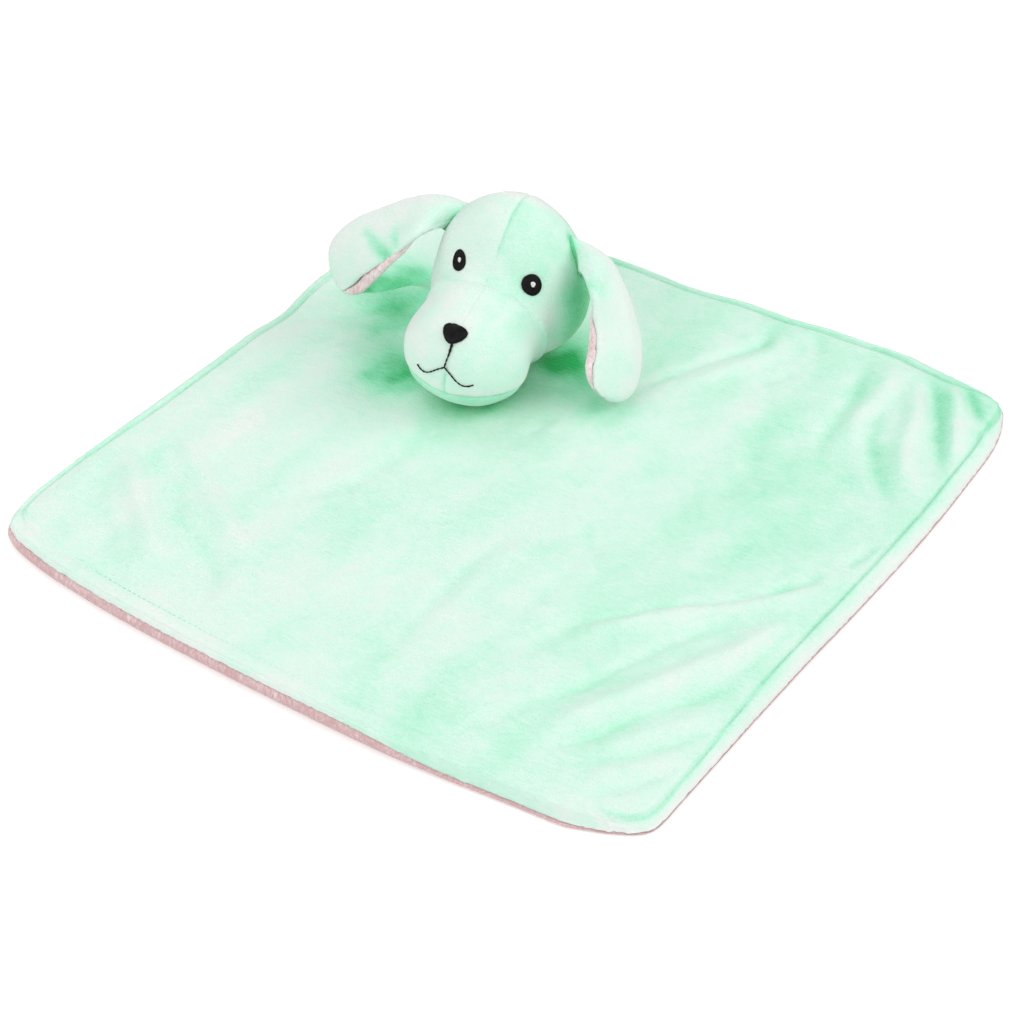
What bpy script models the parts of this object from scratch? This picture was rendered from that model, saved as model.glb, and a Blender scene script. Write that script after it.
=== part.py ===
"""A baby's comfort blanket: a stuffed puppy head sewn to a square of two plush layers.

The blanket lies on the XY plane with its centre at the origin and its front edge at -Y.
Left and right are the viewer's, who looks at the puppy's face from the front edge.
"""
from math import atan2, cos, pi, radians, sin, sqrt

import bmesh
import bpy
from mathutils import Matrix, Vector

for old in list(bpy.data.objects):
    bpy.data.objects.remove(old, do_unlink=True)

# Seams: the space that two sewn pieces keep between them
SEAM_GAP = 0.0003
CUT_OVERRUN = 0.030

# Blanket: two squares of plush, sewn edge to edge, turned and topstitched
BLANKET_SIDE = 0.370
CORNER_RADIUS = 0.034
EDGE_BOW = 0.0020
BACK_THICKNESS = 0.0042
TOP_THICKNESS = 0.0035
PINK_LIP = 0.0006
STITCH_INSET = 0.010
STITCH_WIDTH = 0.0032
STITCH_DEPTH = 0.0011
FOLD_HEIGHT = 0.0042
FOLD_WIDTH = 0.0085

# Head: an egg with its wide end down, turned a little to the right and leaning that way
HEAD_LEFT = 0.0605
HEAD_BACK = 0.0845
HEAD_HALF_WIDTH = 0.041
HEAD_HALF_DEPTH = 0.0365
HEAD_HALF_HEIGHT = 0.0435
HEAD_TAPER_SHARE = 0.17
HEAD_SEAT_SHARE = 0.95
HEAD_TURN = radians(12.9)
HEAD_LEAN = radians(8.3)
PANEL_THICKNESS = 0.0026

# Muzzle: a wide ball on the lower front of the head, with a separate panel for the chin
MUZZLE_FORWARD = 0.048
MUZZLE_HALF_WIDTH = 0.033
MUZZLE_HALF_DEPTH = 0.0327
MUZZLE_HALF_HEIGHT = 0.0273
CHIN_SEAM_DROP = 0.0085
CHIN_CLEARANCE = 0.0011

# Collar: the turned-in neck edge, a roll of plush that is whip-stitched to the blanket
COLLAR_RADIUS = 0.0127
COLLAR_ROLL = 0.0010
NECK_HOLE_RADIUS = 0.011

# Ears: long flaps of two layers, sewn front to back on the upper sides of the head
EAR_LENGTH = 0.086
EAR_WIDTH = 0.036
EAR_OUTER_THICKNESS = 0.0040
EAR_LINING_THICKNESS = 0.0032
EAR_CAMBER = 0.0030
EAR_CURL = 0.0016
EAR_ROOT_RISE = 0.025
EAR_ROOT_FORWARD = 0.004
EAR_ROOT_DEPTH = 0.006
EAR_HINGE_CLEARANCE = 0.0018

# Embroidery on the face
EYE_SIZE = 0.0107
EYE_SPACING = 0.0384
EYE_FORWARD = 0.026
EYE_RISE = 0.0157
SATIN_THICKNESS = 0.0012
GLINT_SIZE = 0.0030
GLINT_THICKNESS = 0.0008
GLINT_SHIFT = 0.0008
NOSE_WIDTH = 0.0136
NOSE_HEIGHT = 0.0112
NOSE_THICKNESS = 0.0018
NOSE_FORWARD = 0.021
NOSE_RISE = 0.0206
MOUTH_LINE_RADIUS = 0.00045

# Each fold is a crest over the blanket: start, middle and end as shares of half the side,
# then its height and its width as shares of FOLD_HEIGHT and FOLD_WIDTH.
FOLD_SHARES = (
    ((0.64, -0.80), (0.77, -0.50), (0.93, 0.00), 1.00, 1.00),
    ((0.76, -0.80), (0.86, -0.62), (0.95, -0.50), 0.60, 0.80),
    ((0.66, 0.94), (0.76, 0.80), (0.88, 0.60), 0.80, 0.90),
    ((0.82, 0.94), (0.90, 0.80), (0.95, 0.62), 0.90, 0.80),
    ((0.60, 0.72), (0.68, 0.55), (0.90, 0.36), 0.70, 0.90),
    ((0.22, 0.96), (0.27, 0.84), (0.30, 0.66), 0.55, 1.00),
    ((0.45, 0.96), (0.48, 0.82), (0.55, 0.60), 0.55, 1.10),
    ((-0.94, -0.58), (-0.86, -0.70), (-0.76, -0.82), 0.55, 0.90),
    ((-0.62, -0.56), (-0.52, -0.68), (-0.40, -0.78), 0.45, 1.10),
    ((-0.84, 0.37), (-0.76, 0.45), (-0.64, 0.53), 1.00, 0.95),
    ((0.22, -0.06), (0.30, -0.16), (0.38, -0.24), 0.40, 0.90),
    ((0.12, -0.50), (0.13, -0.66), (0.14, -0.84), 0.35, 1.10),
)

FOLD_FOOT_SHARE = 1.6
FOLD_END_SHARE = 0.25

# Stations from an ear's root to its tip: outward, backward and upward as shares of the
# ear's length, half the width as a share of its widest, and the twist of the flap as a
# share of a right angle. The right ear hangs to the blanket, the left one stands out.
EAR_RIGHT_SHARES = (
    (0.000, 0.000, 0.000, 0.74, 0.11),
    (0.157, -0.080, 0.043, 0.72, 0.14),
    (0.274, -0.105, -0.080, 0.74, 0.22),
    (0.360, -0.158, -0.226, 0.83, 0.30),
    (0.429, -0.255, -0.358, 0.95, 0.36),
    (0.461, -0.362, -0.466, 0.96, 0.37),
    (0.473, -0.467, -0.556, 0.92, 0.37),
)
EAR_LEFT_SHARES = (
    (0.000, 0.000, 0.000, 0.76, 0.11),
    (0.135, -0.010, -0.025, 0.82, 0.22),
    (0.272, -0.060, -0.100, 0.90, 0.44),
    (0.412, -0.115, -0.218, 0.98, 0.62),
    (0.545, -0.130, -0.358, 1.00, 0.72),
    (0.635, -0.128, -0.485, 0.98, 0.75),
    (0.695, -0.125, -0.610, 0.94, 0.75),
)
EAR_TIP_SHARE = 0.14
EAR_TIP_START_SHARE = 0.80
EAR_ROWS_SHARE = 1.6
EAR_SLOPE_SHARE = 0.01
EAR_EDGE_SHARE = 0.42

# The stitched mouth: across and up, as shares of half the muzzle's width and height
LIP_SHARES = ((0.0, 0.245), (0.115, 0.160), (0.215, 0.055), (0.305, 0.0), (0.39, 0.0), (0.455, 0.045))
PHILTRUM_SHARES = ((0.0, 0.60), (0.0, 0.48), (0.0, 0.36), (0.0, 0.245))

# How the blanket's mesh lines draw together at its rim, and how far its edge rolls over
RIM_PITCH_SHARE = 0.42
RIM_WIDTH_SHARE = 0.25
RIM_ROLL_SHARE = 0.9

# The satin pads: how much of a pad's thickness lies under its rim, and the nose's outline
PAD_FOOT_SHARE = 0.2
NOSE_POINT_SHARE = 0.26
NOSE_DIP_SHARE = 0.10

# Mesh counts
BLANKET_CELLS = 72
BLANKET_TRIANGLES = 2300
ARC_STEPS = 7
SIDE_STEPS = 6
CREST_STEPS = 6
HEAD_MESH = (28, 16)
HEAD_INSIDE_MESH = (20, 12)
MUZZLE_MESH = (24, 14)
MUZZLE_INSIDE_MESH = (18, 10)
COLLAR_MESH = (24, 8)
EAR_ROWS = 13
EAR_COLUMNS = 6
PAD_MESH = (14, 6)
GLINT_MESH = (10, 4)
THREAD_STEPS = 2
THREAD_SIDES = 6

# Sizes that follow from the ones above
HALF_SIDE = BLANKET_SIDE / 2
TOP_PANEL_BASE = BACK_THICKNESS + SEAM_GAP
BLANKET_TOP = TOP_PANEL_BASE + TOP_THICKNESS
COLLAR_HEIGHT = BLANKET_TOP + SEAM_GAP + COLLAR_ROLL
HEAD_BASE = COLLAR_HEIGHT + COLLAR_ROLL + SEAM_GAP
HEAD_RISE = HEAD_BASE + HEAD_SEAT_SHARE * HEAD_HALF_HEIGHT - COLLAR_HEIGHT
HEAD_RADII = Vector((HEAD_HALF_WIDTH, HEAD_HALF_DEPTH, HEAD_HALF_HEIGHT))
MUZZLE_RADII = Vector((MUZZLE_HALF_WIDTH, MUZZLE_HALF_DEPTH, MUZZLE_HALF_HEIGHT))
MUZZLE_FOOT = sqrt((MUZZLE_HALF_WIDTH * sin(HEAD_LEAN)) ** 2 + (MUZZLE_HALF_HEIGHT * cos(HEAD_LEAN)) ** 2)
MUZZLE_RISE = BLANKET_TOP + CHIN_CLEARANCE + MUZZLE_FOOT - COLLAR_HEIGHT
MUZZLE_CENTRE = Vector((0, -MUZZLE_FORWARD, (MUZZLE_RISE - HEAD_RISE) / cos(HEAD_LEAN)))


def fabric(name, colour, roughness):
    """A matte material in the piece's own colour."""
    material = bpy.data.materials.new(name)
    material.use_nodes = True
    shader = material.node_tree.nodes["Principled BSDF"]
    shader.inputs["Base Color"].default_value = (*colour, 1)
    shader.inputs["Roughness"].default_value = roughness
    shader.inputs["Metallic"].default_value = 0
    return material


MINT_PLUSH = fabric("mint_plush", (0.50, 0.93, 0.68), 0.95)
PINK_PLUSH = fabric("pink_plush", (0.80, 0.58, 0.58), 0.95)
STUFFING = fabric("white_stuffing", (0.90, 0.90, 0.88), 1.0)
BLACK_THREAD = fabric("black_thread", (0.01, 0.01, 0.01), 0.45)
WHITE_THREAD = fabric("white_thread", (0.88, 0.84, 0.84), 0.45)


def add_piece(name, bm, material, parent=None, location=(0, 0, 0), lean=0):
    """Turns a closed mesh into a named object with its faces pointing out."""
    bmesh.ops.recalc_face_normals(bm, faces=bm.faces)
    mesh = bpy.data.meshes.new(name)
    bm.to_mesh(mesh)
    bm.free()
    mesh.shade_smooth()
    mesh.set_sharp_from_angle(angle=radians(50))
    mesh.materials.append(material)
    piece = bpy.data.objects.new(name, mesh)
    bpy.context.collection.objects.link(piece)
    piece.parent = parent
    piece.location = location
    piece.rotation_euler = (0, lean, 0)
    return piece


def add_cutter(name, bm, parent=None, location=(0, 0, 0), lean=0):
    """A shape that only cuts others."""
    cutter = add_piece(name, bm, STUFFING, parent, location, lean)
    cutter.hide_render = True
    cutter.display_type = "WIRE"
    return cutter


def add_pivot(name, parent, location, turn=0, lean=0):
    """An empty on a joint's axis, which carries the pieces that move about it."""
    pivot = bpy.data.objects.new(name, None)
    bpy.context.collection.objects.link(pivot)
    pivot.parent = parent
    pivot.location = location
    pivot.rotation_euler = (0, lean, turn)
    return pivot


def cut(piece, operation, cutter):
    """One Boolean step on a piece."""
    step = piece.modifiers.new(operation.lower() + "_" + cutter.name, "BOOLEAN")
    step.operation = operation
    step.solver = "EXACT"
    step.object = cutter


def smooth_step(value):
    """Rises from 0 to 1 with level ends."""
    value = min(max(value, 0), 1)
    return value * value * (3 - 2 * value)


def along(stations, share):
    """A point on the smooth curve through the stations, at a share of the way along it."""
    place = share * (len(stations) - 1)
    index = min(int(place), len(stations) - 2)
    t = place - index
    before = stations[max(index - 1, 0)]
    start = stations[index]
    end = stations[index + 1]
    after = stations[min(index + 2, len(stations) - 1)]
    return [
        0.5 * (2 * b + (c - a) * t + (2 * a - 5 * b + 4 * c - d) * t * t + (3 * b - a - 3 * c + d) * t ** 3)
        for a, b, c, d in zip(before, start, end, after)
    ]


def closed_sheet(rows, columns, place):
    """A sheet with a lower and an upper face, where place gives each point of both."""
    bm = bmesh.new()
    bmesh.ops.create_grid(bm, x_segments=rows, y_segments=columns, size=1)
    lower = list(bm.verts)
    shares = {vert: ((vert.co.x + 1) / 2, (vert.co.y + 1) / 2) for vert in lower}
    corners = {tuple(shares[vert]): vert for vert in lower}
    lifted = bmesh.ops.extrude_face_region(bm, geom=list(bm.faces))
    upper = [item for item in lifted["geom"] if isinstance(item, bmesh.types.BMVert)]
    for vert in upper:
        along_share, across_share = (vert.co.x + 1) / 2, (vert.co.y + 1) / 2
        vert.co = place(along_share, across_share, True)
    for share, vert in corners.items():
        vert.co = place(*share, False)
    return bm


# The blanket's outline and folds

def edge_reach(angle):
    """How far the rounded square reaches from its centre in one direction."""
    x, y = abs(cos(angle)), abs(sin(angle))
    long, short = max(x, y), min(x, y)
    straight = HALF_SIDE - CORNER_RADIUS
    if short * HALF_SIDE <= straight * long:
        bow = EDGE_BOW * (1 - (short * HALF_SIDE / (straight * long)) ** 2)
        return (HALF_SIDE + bow) / long
    middle = straight * (long + short)
    return middle + sqrt(middle ** 2 - 2 * straight ** 2 + CORNER_RADIUS ** 2)


def crest_points(start, middle, end):
    """The crest of a fold, as points of a curve bent by its middle."""
    points = []
    for step in range(CREST_STEPS + 1):
        t = step / CREST_STEPS
        bent = (1 - t) ** 2 * Vector(start) + 2 * t * (1 - t) * Vector(middle) + t * t * Vector(end)
        points.append(bent * HALF_SIDE)
    return points


FOLDS = [(crest_points(*fold[:3]), fold[3], fold[4]) for fold in FOLD_SHARES]


def fold_height(x, y):
    """How far the folds lift the upper layer at a point of the blanket."""
    height = 0
    here = Vector((x, y))
    for crest, height_share, width_share in FOLDS:
        nearest = BLANKET_SIDE
        place = 0
        for step, (first, second) in enumerate(zip(crest, crest[1:])):
            run = second - first
            share = min(max((here - first).dot(run) / run.length_squared, 0), 1)
            away = (here - first - run * share).length
            if away < nearest:
                nearest = away
                place = (step + share) / CREST_STEPS
        across = smooth_step(1 - nearest / (FOLD_WIDTH * width_share * FOLD_FOOT_SHARE))
        taper = smooth_step(FOLD_END_SHARE + min(place, 1 - place) / FOLD_END_SHARE)
        height = max(height, FOLD_HEIGHT * height_share * across * taper)
    return height


def blanket_point(x_share, y_share):
    """A point of the blanket's plan, and its distance from the edge."""
    x, y = 2 * x_share - 1, 2 * y_share - 1
    out = max(abs(x), abs(y))
    if out == 0:
        return 0, 0, HALF_SIDE
    length = sqrt(x * x + y * y)
    square = HALF_SIDE * length / out
    rounded = edge_reach(Vector((x, y)).angle_signed(Vector((1, 0))))
    stretch = 1 + (rounded / square - 1) * out ** 6
    return HALF_SIDE * x * stretch, HALF_SIDE * y * stretch, (1 - out) * HALF_SIDE


def rim_share(share):
    """Draws the mesh lines of the blanket together at its rim, where it is stitched."""
    from_edge = min(share, 1 - share) * 2
    pitch = RIM_PITCH_SHARE + (1 - RIM_PITCH_SHARE) * smooth_step(from_edge / RIM_WIDTH_SHARE)
    drawn = from_edge * pitch
    return drawn / 2 if share <= 0.5 else 1 - drawn / 2


def top_panel_point(x_share, y_share, upper):
    """The mint layer: rounded at its rim, drawn in at the topstitch and raised at the folds."""
    x, y, from_edge = blanket_point(rim_share(x_share), rim_share(y_share))
    flat_rim = smooth_step((from_edge - STITCH_INSET - STITCH_WIDTH) / STITCH_INSET)
    lift = fold_height(x, y) * flat_rim
    if not upper:
        return Vector((x, y, TOP_PANEL_BASE + lift))
    roll = max(0, 1 - from_edge / TOP_THICKNESS)
    thickness = TOP_THICKNESS * sqrt(1 - RIM_ROLL_SHARE * roll ** 2)
    stitch = max(0, 1 - ((from_edge - STITCH_INSET) / STITCH_WIDTH) ** 2)
    return Vector((x, y, TOP_PANEL_BASE + thickness - STITCH_DEPTH * stitch + lift))


def rounded_square(inset):
    """The blanket's outline, drawn in by an inset."""
    points = []
    straight = HALF_SIDE - CORNER_RADIUS
    for quarter in range(4):
        turn = Matrix.Rotation(quarter * pi / 2, 3, "Z")
        for step in range(1, SIDE_STEPS):
            share = 2 * step / SIDE_STEPS - 1
            bow = EDGE_BOW * (1 - share ** 2)
            points.append(turn @ Vector((HALF_SIDE + bow - inset, straight * share, 0)))
        for step in range(ARC_STEPS):
            angle = step / (ARC_STEPS - 1) * pi / 2
            radius = CORNER_RADIUS - inset
            points.append(turn @ Vector((straight + radius * cos(angle), straight + radius * sin(angle), 0)))
    return points


def blanket_back_panel():
    """The pink layer: flat underneath, with a rolled edge and a drawn-in line of stitches."""
    roll = BACK_THICKNESS / 4
    stitch = STITCH_WIDTH / 2
    rings = (
        (STITCH_INSET + stitch, 0),
        (STITCH_INSET, STITCH_DEPTH),
        (STITCH_INSET - stitch, 0),
        (roll, 0),
        (0, roll),
        (-PINK_LIP, BACK_THICKNESS / 2),
        (0, BACK_THICKNESS - roll),
        (roll, BACK_THICKNESS),
    )
    bm = bmesh.new()
    loops = []
    for inset, height in rings:
        loops.append([bm.verts.new(point + Vector((0, 0, height))) for point in rounded_square(inset)])
    for first, second in zip(loops, loops[1:]):
        for step in range(len(first)):
            bm.faces.new((first[step - 1], first[step], second[step], second[step - 1]))
    bmesh.ops.poke(bm, faces=[bm.faces.new(loops[0]), bm.faces.new(loops[-1])])
    return add_piece("blanket_back_panel", bm, PINK_PLUSH)


def blanket_top_panel():
    """The mint layer with its main folds."""
    bm = closed_sheet(BLANKET_CELLS, BLANKET_CELLS, top_panel_point)
    piece = add_piece("blanket_top_panel", bm, MINT_PLUSH)
    thin = piece.modifiers.new("fewer_faces_where_flat", "DECIMATE")
    thin.ratio = BLANKET_TRIANGLES / (4 * BLANKET_CELLS ** 2)
    return piece


# Balls of the head

def swell(point, taper_share):
    """Widens an upright ball towards its foot."""
    grow = 1 - taper_share * point.z
    return Vector((point.x * grow, point.y * grow, point.z))


def ball(radii, mesh, taper_share=0, grow=0, centre=(0, 0, 0)):
    """A ball with three radii, made larger or smaller by grow."""
    bm = bmesh.new()
    bmesh.ops.create_uvsphere(bm, u_segments=mesh[0], v_segments=mesh[1], radius=1)
    for vert in bm.verts:
        unit = swell(vert.co, taper_share)
        vert.co = Vector(centre) + Vector([part * (radius + grow) for part, radius in zip(unit, radii)])
    return bm


def settle(point, centre, radii, taper_share, lift):
    """Moves a point to a ball's skin, and then outward by lift."""
    away = point - centre
    for _ in range(4):
        grow = 1 - taper_share * away.z / radii.z
        unit = Vector((away.x / radii.x / grow, away.y / radii.y / grow, away.z / radii.z))
        away = away / unit.length
    normal = Vector((unit.x / radii.x, unit.y / radii.y, unit.z / radii.z)).normalized()
    return centre + away + normal * lift


def skin_beside(rise):
    """The point of the head's right side where an ear's root lies, at a height over the centre."""
    share = rise / HEAD_HALF_HEIGHT
    grow = 1 - HEAD_TAPER_SHARE * share
    forward_share = EAR_ROOT_FORWARD / (HEAD_HALF_DEPTH * grow)
    width = HEAD_HALF_WIDTH * grow * sqrt(1 - share ** 2 - forward_share ** 2)
    return Vector((width, -EAR_ROOT_FORWARD, rise))


def box(size, centre):
    """A cutter's box."""
    bm = bmesh.new()
    bmesh.ops.create_cube(bm, size=1)
    for vert in bm.verts:
        vert.co = Vector(centre) + Vector([part * length for part, length in zip(vert.co, size)])
    return bm


# The joints' axes: the collar turns, the head nods on the collar's rear
neck_pivot = add_pivot("neck_pivot", None, (-HEAD_LEFT, HEAD_BACK, COLLAR_HEIGHT), turn=HEAD_TURN)
head_pivot = add_pivot("head_pivot", neck_pivot, (0, COLLAR_RADIUS, 0))
HEAD_CENTRE = Vector((0, -COLLAR_RADIUS, HEAD_RISE))


def on_head(name, bm, material):
    """A piece of the head, in the head's own frame."""
    return add_piece(name, bm, material, head_pivot, HEAD_CENTRE, HEAD_LEAN)


def head_cutter(name, bm):
    """A cutter in the head's own frame."""
    return add_cutter(name, bm, head_pivot, HEAD_CENTRE, HEAD_LEAN)


HEAD_SPAN = 2 * HEAD_HALF_HEIGHT + CUT_OVERRUN
MUZZLE_SPAN = 2 * (MUZZLE_HALF_WIDTH + MUZZLE_FORWARD) + CUT_OVERRUN

head_skin_cutter = head_cutter("head_skin_cutter", ball(HEAD_RADII, HEAD_MESH, HEAD_TAPER_SHARE, SEAM_GAP))
head_inside_cutter = head_cutter(
    "head_inside_cutter", ball(HEAD_RADII, HEAD_INSIDE_MESH, HEAD_TAPER_SHARE, -PANEL_THICKNESS))
muzzle_skin_cutter = head_cutter(
    "muzzle_skin_cutter", ball(MUZZLE_RADII, MUZZLE_MESH, 0, SEAM_GAP, MUZZLE_CENTRE))
muzzle_inside_cutter = head_cutter(
    "muzzle_inside_cutter", ball(MUZZLE_RADII, MUZZLE_INSIDE_MESH, 0, -PANEL_THICKNESS, MUZZLE_CENTRE))


def round_post(radius, height):
    """An upright round post about its middle."""
    bm = bmesh.new()
    bmesh.ops.create_cone(
        bm, cap_ends=True, segments=COLLAR_MESH[0], radius1=radius, radius2=radius, depth=height)
    return bm


neck_hole_cutter = add_cutter(
    "neck_hole_cutter",
    round_post(NECK_HOLE_RADIUS, 2 * (HEAD_BASE + PANEL_THICKNESS + SEAM_GAP - COLLAR_HEIGHT)),
    neck_pivot)
under_head_cutter = add_cutter(
    "under_head_cutter",
    box((HEAD_SPAN, HEAD_SPAN, CUT_OVERRUN), (0, 0, HEAD_BASE - COLLAR_HEIGHT - CUT_OVERRUN / 2)),
    neck_pivot)


def half_space(name, side):
    """Keeps what lies on one side of the seam down the middle of the face."""
    size = (HEAD_SPAN, 2 * MUZZLE_SPAN, 2 * HEAD_SPAN)
    return head_cutter(name, box(size, (side * (HEAD_SPAN + SEAM_GAP) / 2, 0, 0)))


sides = {"left": -1, "right": 1}
half_cutters = {name: half_space("half_cutter_" + name, side) for name, side in sides.items()}
over_chin_cutter = head_cutter(
    "over_chin_cutter",
    box((MUZZLE_SPAN, 2 * MUZZLE_SPAN, MUZZLE_SPAN),
        (0, 0, MUZZLE_CENTRE.z - CHIN_SEAM_DROP + MUZZLE_SPAN / 2)))
under_chin_cutter = head_cutter(
    "under_chin_cutter",
    box((MUZZLE_SPAN, 2 * MUZZLE_SPAN, MUZZLE_SPAN),
        (0, 0, MUZZLE_CENTRE.z - CHIN_SEAM_DROP - SEAM_GAP - MUZZLE_SPAN / 2)))


def head_panel(side_name):
    """Half of the head's skin, open at the neck and where the muzzle joins."""
    panel = on_head("head_panel_" + side_name, ball(HEAD_RADII, HEAD_MESH, HEAD_TAPER_SHARE), MINT_PLUSH)
    cut(panel, "INTERSECT", half_cutters[side_name])
    cut(panel, "DIFFERENCE", head_inside_cutter)
    cut(panel, "DIFFERENCE", muzzle_skin_cutter)
    cut(panel, "DIFFERENCE", under_head_cutter)
    cut(panel, "DIFFERENCE", neck_hole_cutter)
    return panel


def muzzle_panel(side_name):
    """Half of the muzzle's skin above the chin seam, sewn to the head's panels at its back."""
    skin = ball(MUZZLE_RADII, MUZZLE_MESH, centre=MUZZLE_CENTRE)
    panel = on_head("muzzle_panel_" + side_name, skin, MINT_PLUSH)
    cut(panel, "INTERSECT", half_cutters[side_name])
    cut(panel, "INTERSECT", over_chin_cutter)
    cut(panel, "DIFFERENCE", muzzle_inside_cutter)
    cut(panel, "DIFFERENCE", head_inside_cutter)
    return panel


def chin_panel():
    """The skin under the muzzle."""
    panel = on_head("chin_panel", ball(MUZZLE_RADII, MUZZLE_MESH, centre=MUZZLE_CENTRE), MINT_PLUSH)
    cut(panel, "INTERSECT", under_chin_cutter)
    cut(panel, "DIFFERENCE", muzzle_inside_cutter)
    cut(panel, "DIFFERENCE", head_inside_cutter)
    return panel


def head_stuffing():
    """One mass of fibre that fills the head and the muzzle."""
    inset = -PANEL_THICKNESS - SEAM_GAP
    muzzle_fill = head_cutter("muzzle_fill", ball(MUZZLE_RADII, MUZZLE_INSIDE_MESH, 0, inset, MUZZLE_CENTRE))
    fill = on_head("head_stuffing", ball(HEAD_RADII, HEAD_INSIDE_MESH, HEAD_TAPER_SHARE, inset), STUFFING)
    cut(fill, "UNION", muzzle_fill)
    return fill


def neck_collar():
    """A ring of rolled plush between the head and the blanket."""
    bm = bmesh.new()
    bmesh.ops.create_circle(bm, cap_ends=False, segments=COLLAR_MESH[1], radius=COLLAR_ROLL)
    stand = Matrix.Translation((COLLAR_RADIUS, 0, 0)) @ Matrix.Rotation(pi / 2, 4, "X")
    bmesh.ops.transform(bm, matrix=stand, verts=bm.verts)
    bmesh.ops.spin(
        bm, geom=list(bm.verts) + list(bm.edges), cent=(0, 0, 0), axis=(0, 0, 1), angle=2 * pi,
        steps=COLLAR_MESH[0], use_merge=True)
    return add_piece("neck_collar", bm, MINT_PLUSH, neck_pivot)


# Ears

def ear_frame(stations, share):
    """The flap's middle, its two directions and its half width at a share of its length."""
    outward, backward, upward, width_share, twist_share = along(stations, share)
    ahead = along(stations, min(share + EAR_SLOPE_SHARE, 1))
    behind = along(stations, max(share - EAR_SLOPE_SHARE, 0))
    forward = Vector([b - a for a, b in zip(behind[:3], ahead[:3])]).normalized()
    twist = twist_share * pi / 2
    across = Vector((sin(twist), cos(twist), 0))
    across = (across - forward * across.dot(forward)).normalized()
    middle = Vector((outward, backward, upward)) * EAR_LENGTH
    tip = max(0, (share - EAR_TIP_START_SHARE) / (1 - EAR_TIP_START_SHARE))
    rounding = max(sqrt(1 - tip ** 2), EAR_TIP_SHARE)
    return middle, across, forward.cross(across), width_share * EAR_WIDTH / 2, rounding


def ear_layer(name, side, stations, outer, material, pivot, root_to_pivot, turn):
    """One layer of an ear: the mint outside or the pink lining."""
    thickness = EAR_OUTER_THICKNESS if outer else EAR_LINING_THICKNESS

    def place(long_share, wide_share, upper):
        share = 1 - (1 - long_share) ** EAR_ROWS_SHARE
        middle, across, normal, half_width, rounding = ear_frame(stations, share)
        if long_share == 0:
            middle = middle - Vector((EAR_ROOT_DEPTH, 0, 0))
        u = 2 * wide_share - 1
        skin = thickness * rounding * (EAR_EDGE_SHARE + (1 - EAR_EDGE_SHARE) * sqrt(1 - u ** 4))
        if outer:
            height = SEAM_GAP / 2 + (skin if upper else 0)
        else:
            height = -SEAM_GAP / 2 - (0 if upper else skin)
        bend = -EAR_CAMBER if u > 0 else EAR_CURL
        point = middle + across * (u * half_width * rounding) + normal * (height + bend * u * u)
        point = turn @ (point - root_to_pivot)
        return Vector((side * point.x, point.y, point.z))

    layer = add_piece(name, closed_sheet(EAR_ROWS, EAR_COLUMNS, place), material, pivot)
    cut(layer, "DIFFERENCE", head_skin_cutter)
    return layer


def ear(side_name, stations):
    """An ear and the pivot along its root seam, at the top of the seam on the head's skin."""
    side = sides[side_name]
    root = skin_beside(EAR_ROOT_RISE)
    hinge = skin_beside(EAR_ROOT_RISE + EAR_OUTER_THICKNESS + EAR_HINGE_CLEARANCE)
    hinge = hinge + Vector((EAR_HINGE_CLEARANCE, 0, 0))
    seam_turn = atan2(EAR_ROOT_FORWARD / HEAD_HALF_DEPTH ** 2, root.x / HEAD_HALF_WIDTH ** 2)
    lean = Matrix.Rotation(HEAD_LEAN, 3, "Y")
    place = HEAD_CENTRE + lean @ Vector((side * hinge.x, hinge.y, hinge.z))
    pivot = add_pivot("ear_" + side_name + "_pivot", head_pivot, place)
    pivot.rotation_euler = (lean @ Matrix.Rotation(-side * seam_turn, 3, "Z")).to_euler()
    turn = Matrix.Rotation(seam_turn, 3, "Z")
    offset = hinge - root
    ear_layer("ear_" + side_name + "_outer", side, stations, True, MINT_PLUSH, pivot, offset, turn)
    ear_layer("ear_" + side_name + "_lining", side, stations, False, PINK_PLUSH, pivot, offset, turn)


# Embroidery

def satin_pad(name, outline, mesh, size, lift, ground, material):
    """A pad of satin stitches that follows the skin under it.

    The size is the pad's width, height and thickness; the ground is the ball that it lies on
    and the pad's middle there.
    """
    width, height, thickness = size
    centre, radii, taper_share, middle = ground
    middle = settle(middle, centre, radii, taper_share, 0)
    outward = (settle(middle, centre, radii, taper_share, thickness) - middle).normalized()
    across = Vector((0, 0, 1)).cross(outward).normalized()
    upward = outward.cross(across)
    bm = bmesh.new()
    bmesh.ops.create_uvsphere(bm, u_segments=mesh[0], v_segments=mesh[1], radius=1)
    for vert in bm.verts:
        u, v = outline(vert.co.x, vert.co.y)
        rise = vert.co.z if vert.co.z > 0 else vert.co.z * PAD_FOOT_SHARE
        level = thickness * (rise + PAD_FOOT_SHARE) / (1 + PAD_FOOT_SHARE)
        point = middle + across * (u * width / 2) + upward * (v * height / 2)
        vert.co = settle(point, centre, radii, taper_share, lift + level)
    return on_head(name, bm, material)


def round_outline(u, v):
    """An even oval."""
    return u, v


def nose_outline(u, v):
    """A rounded triangle with its point down and a shallow dip in its top edge."""
    return u * (1 - NOSE_POINT_SHARE * (1 - v)), v - NOSE_DIP_SHARE * (1 - u * u) * max(v, 0)


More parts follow.
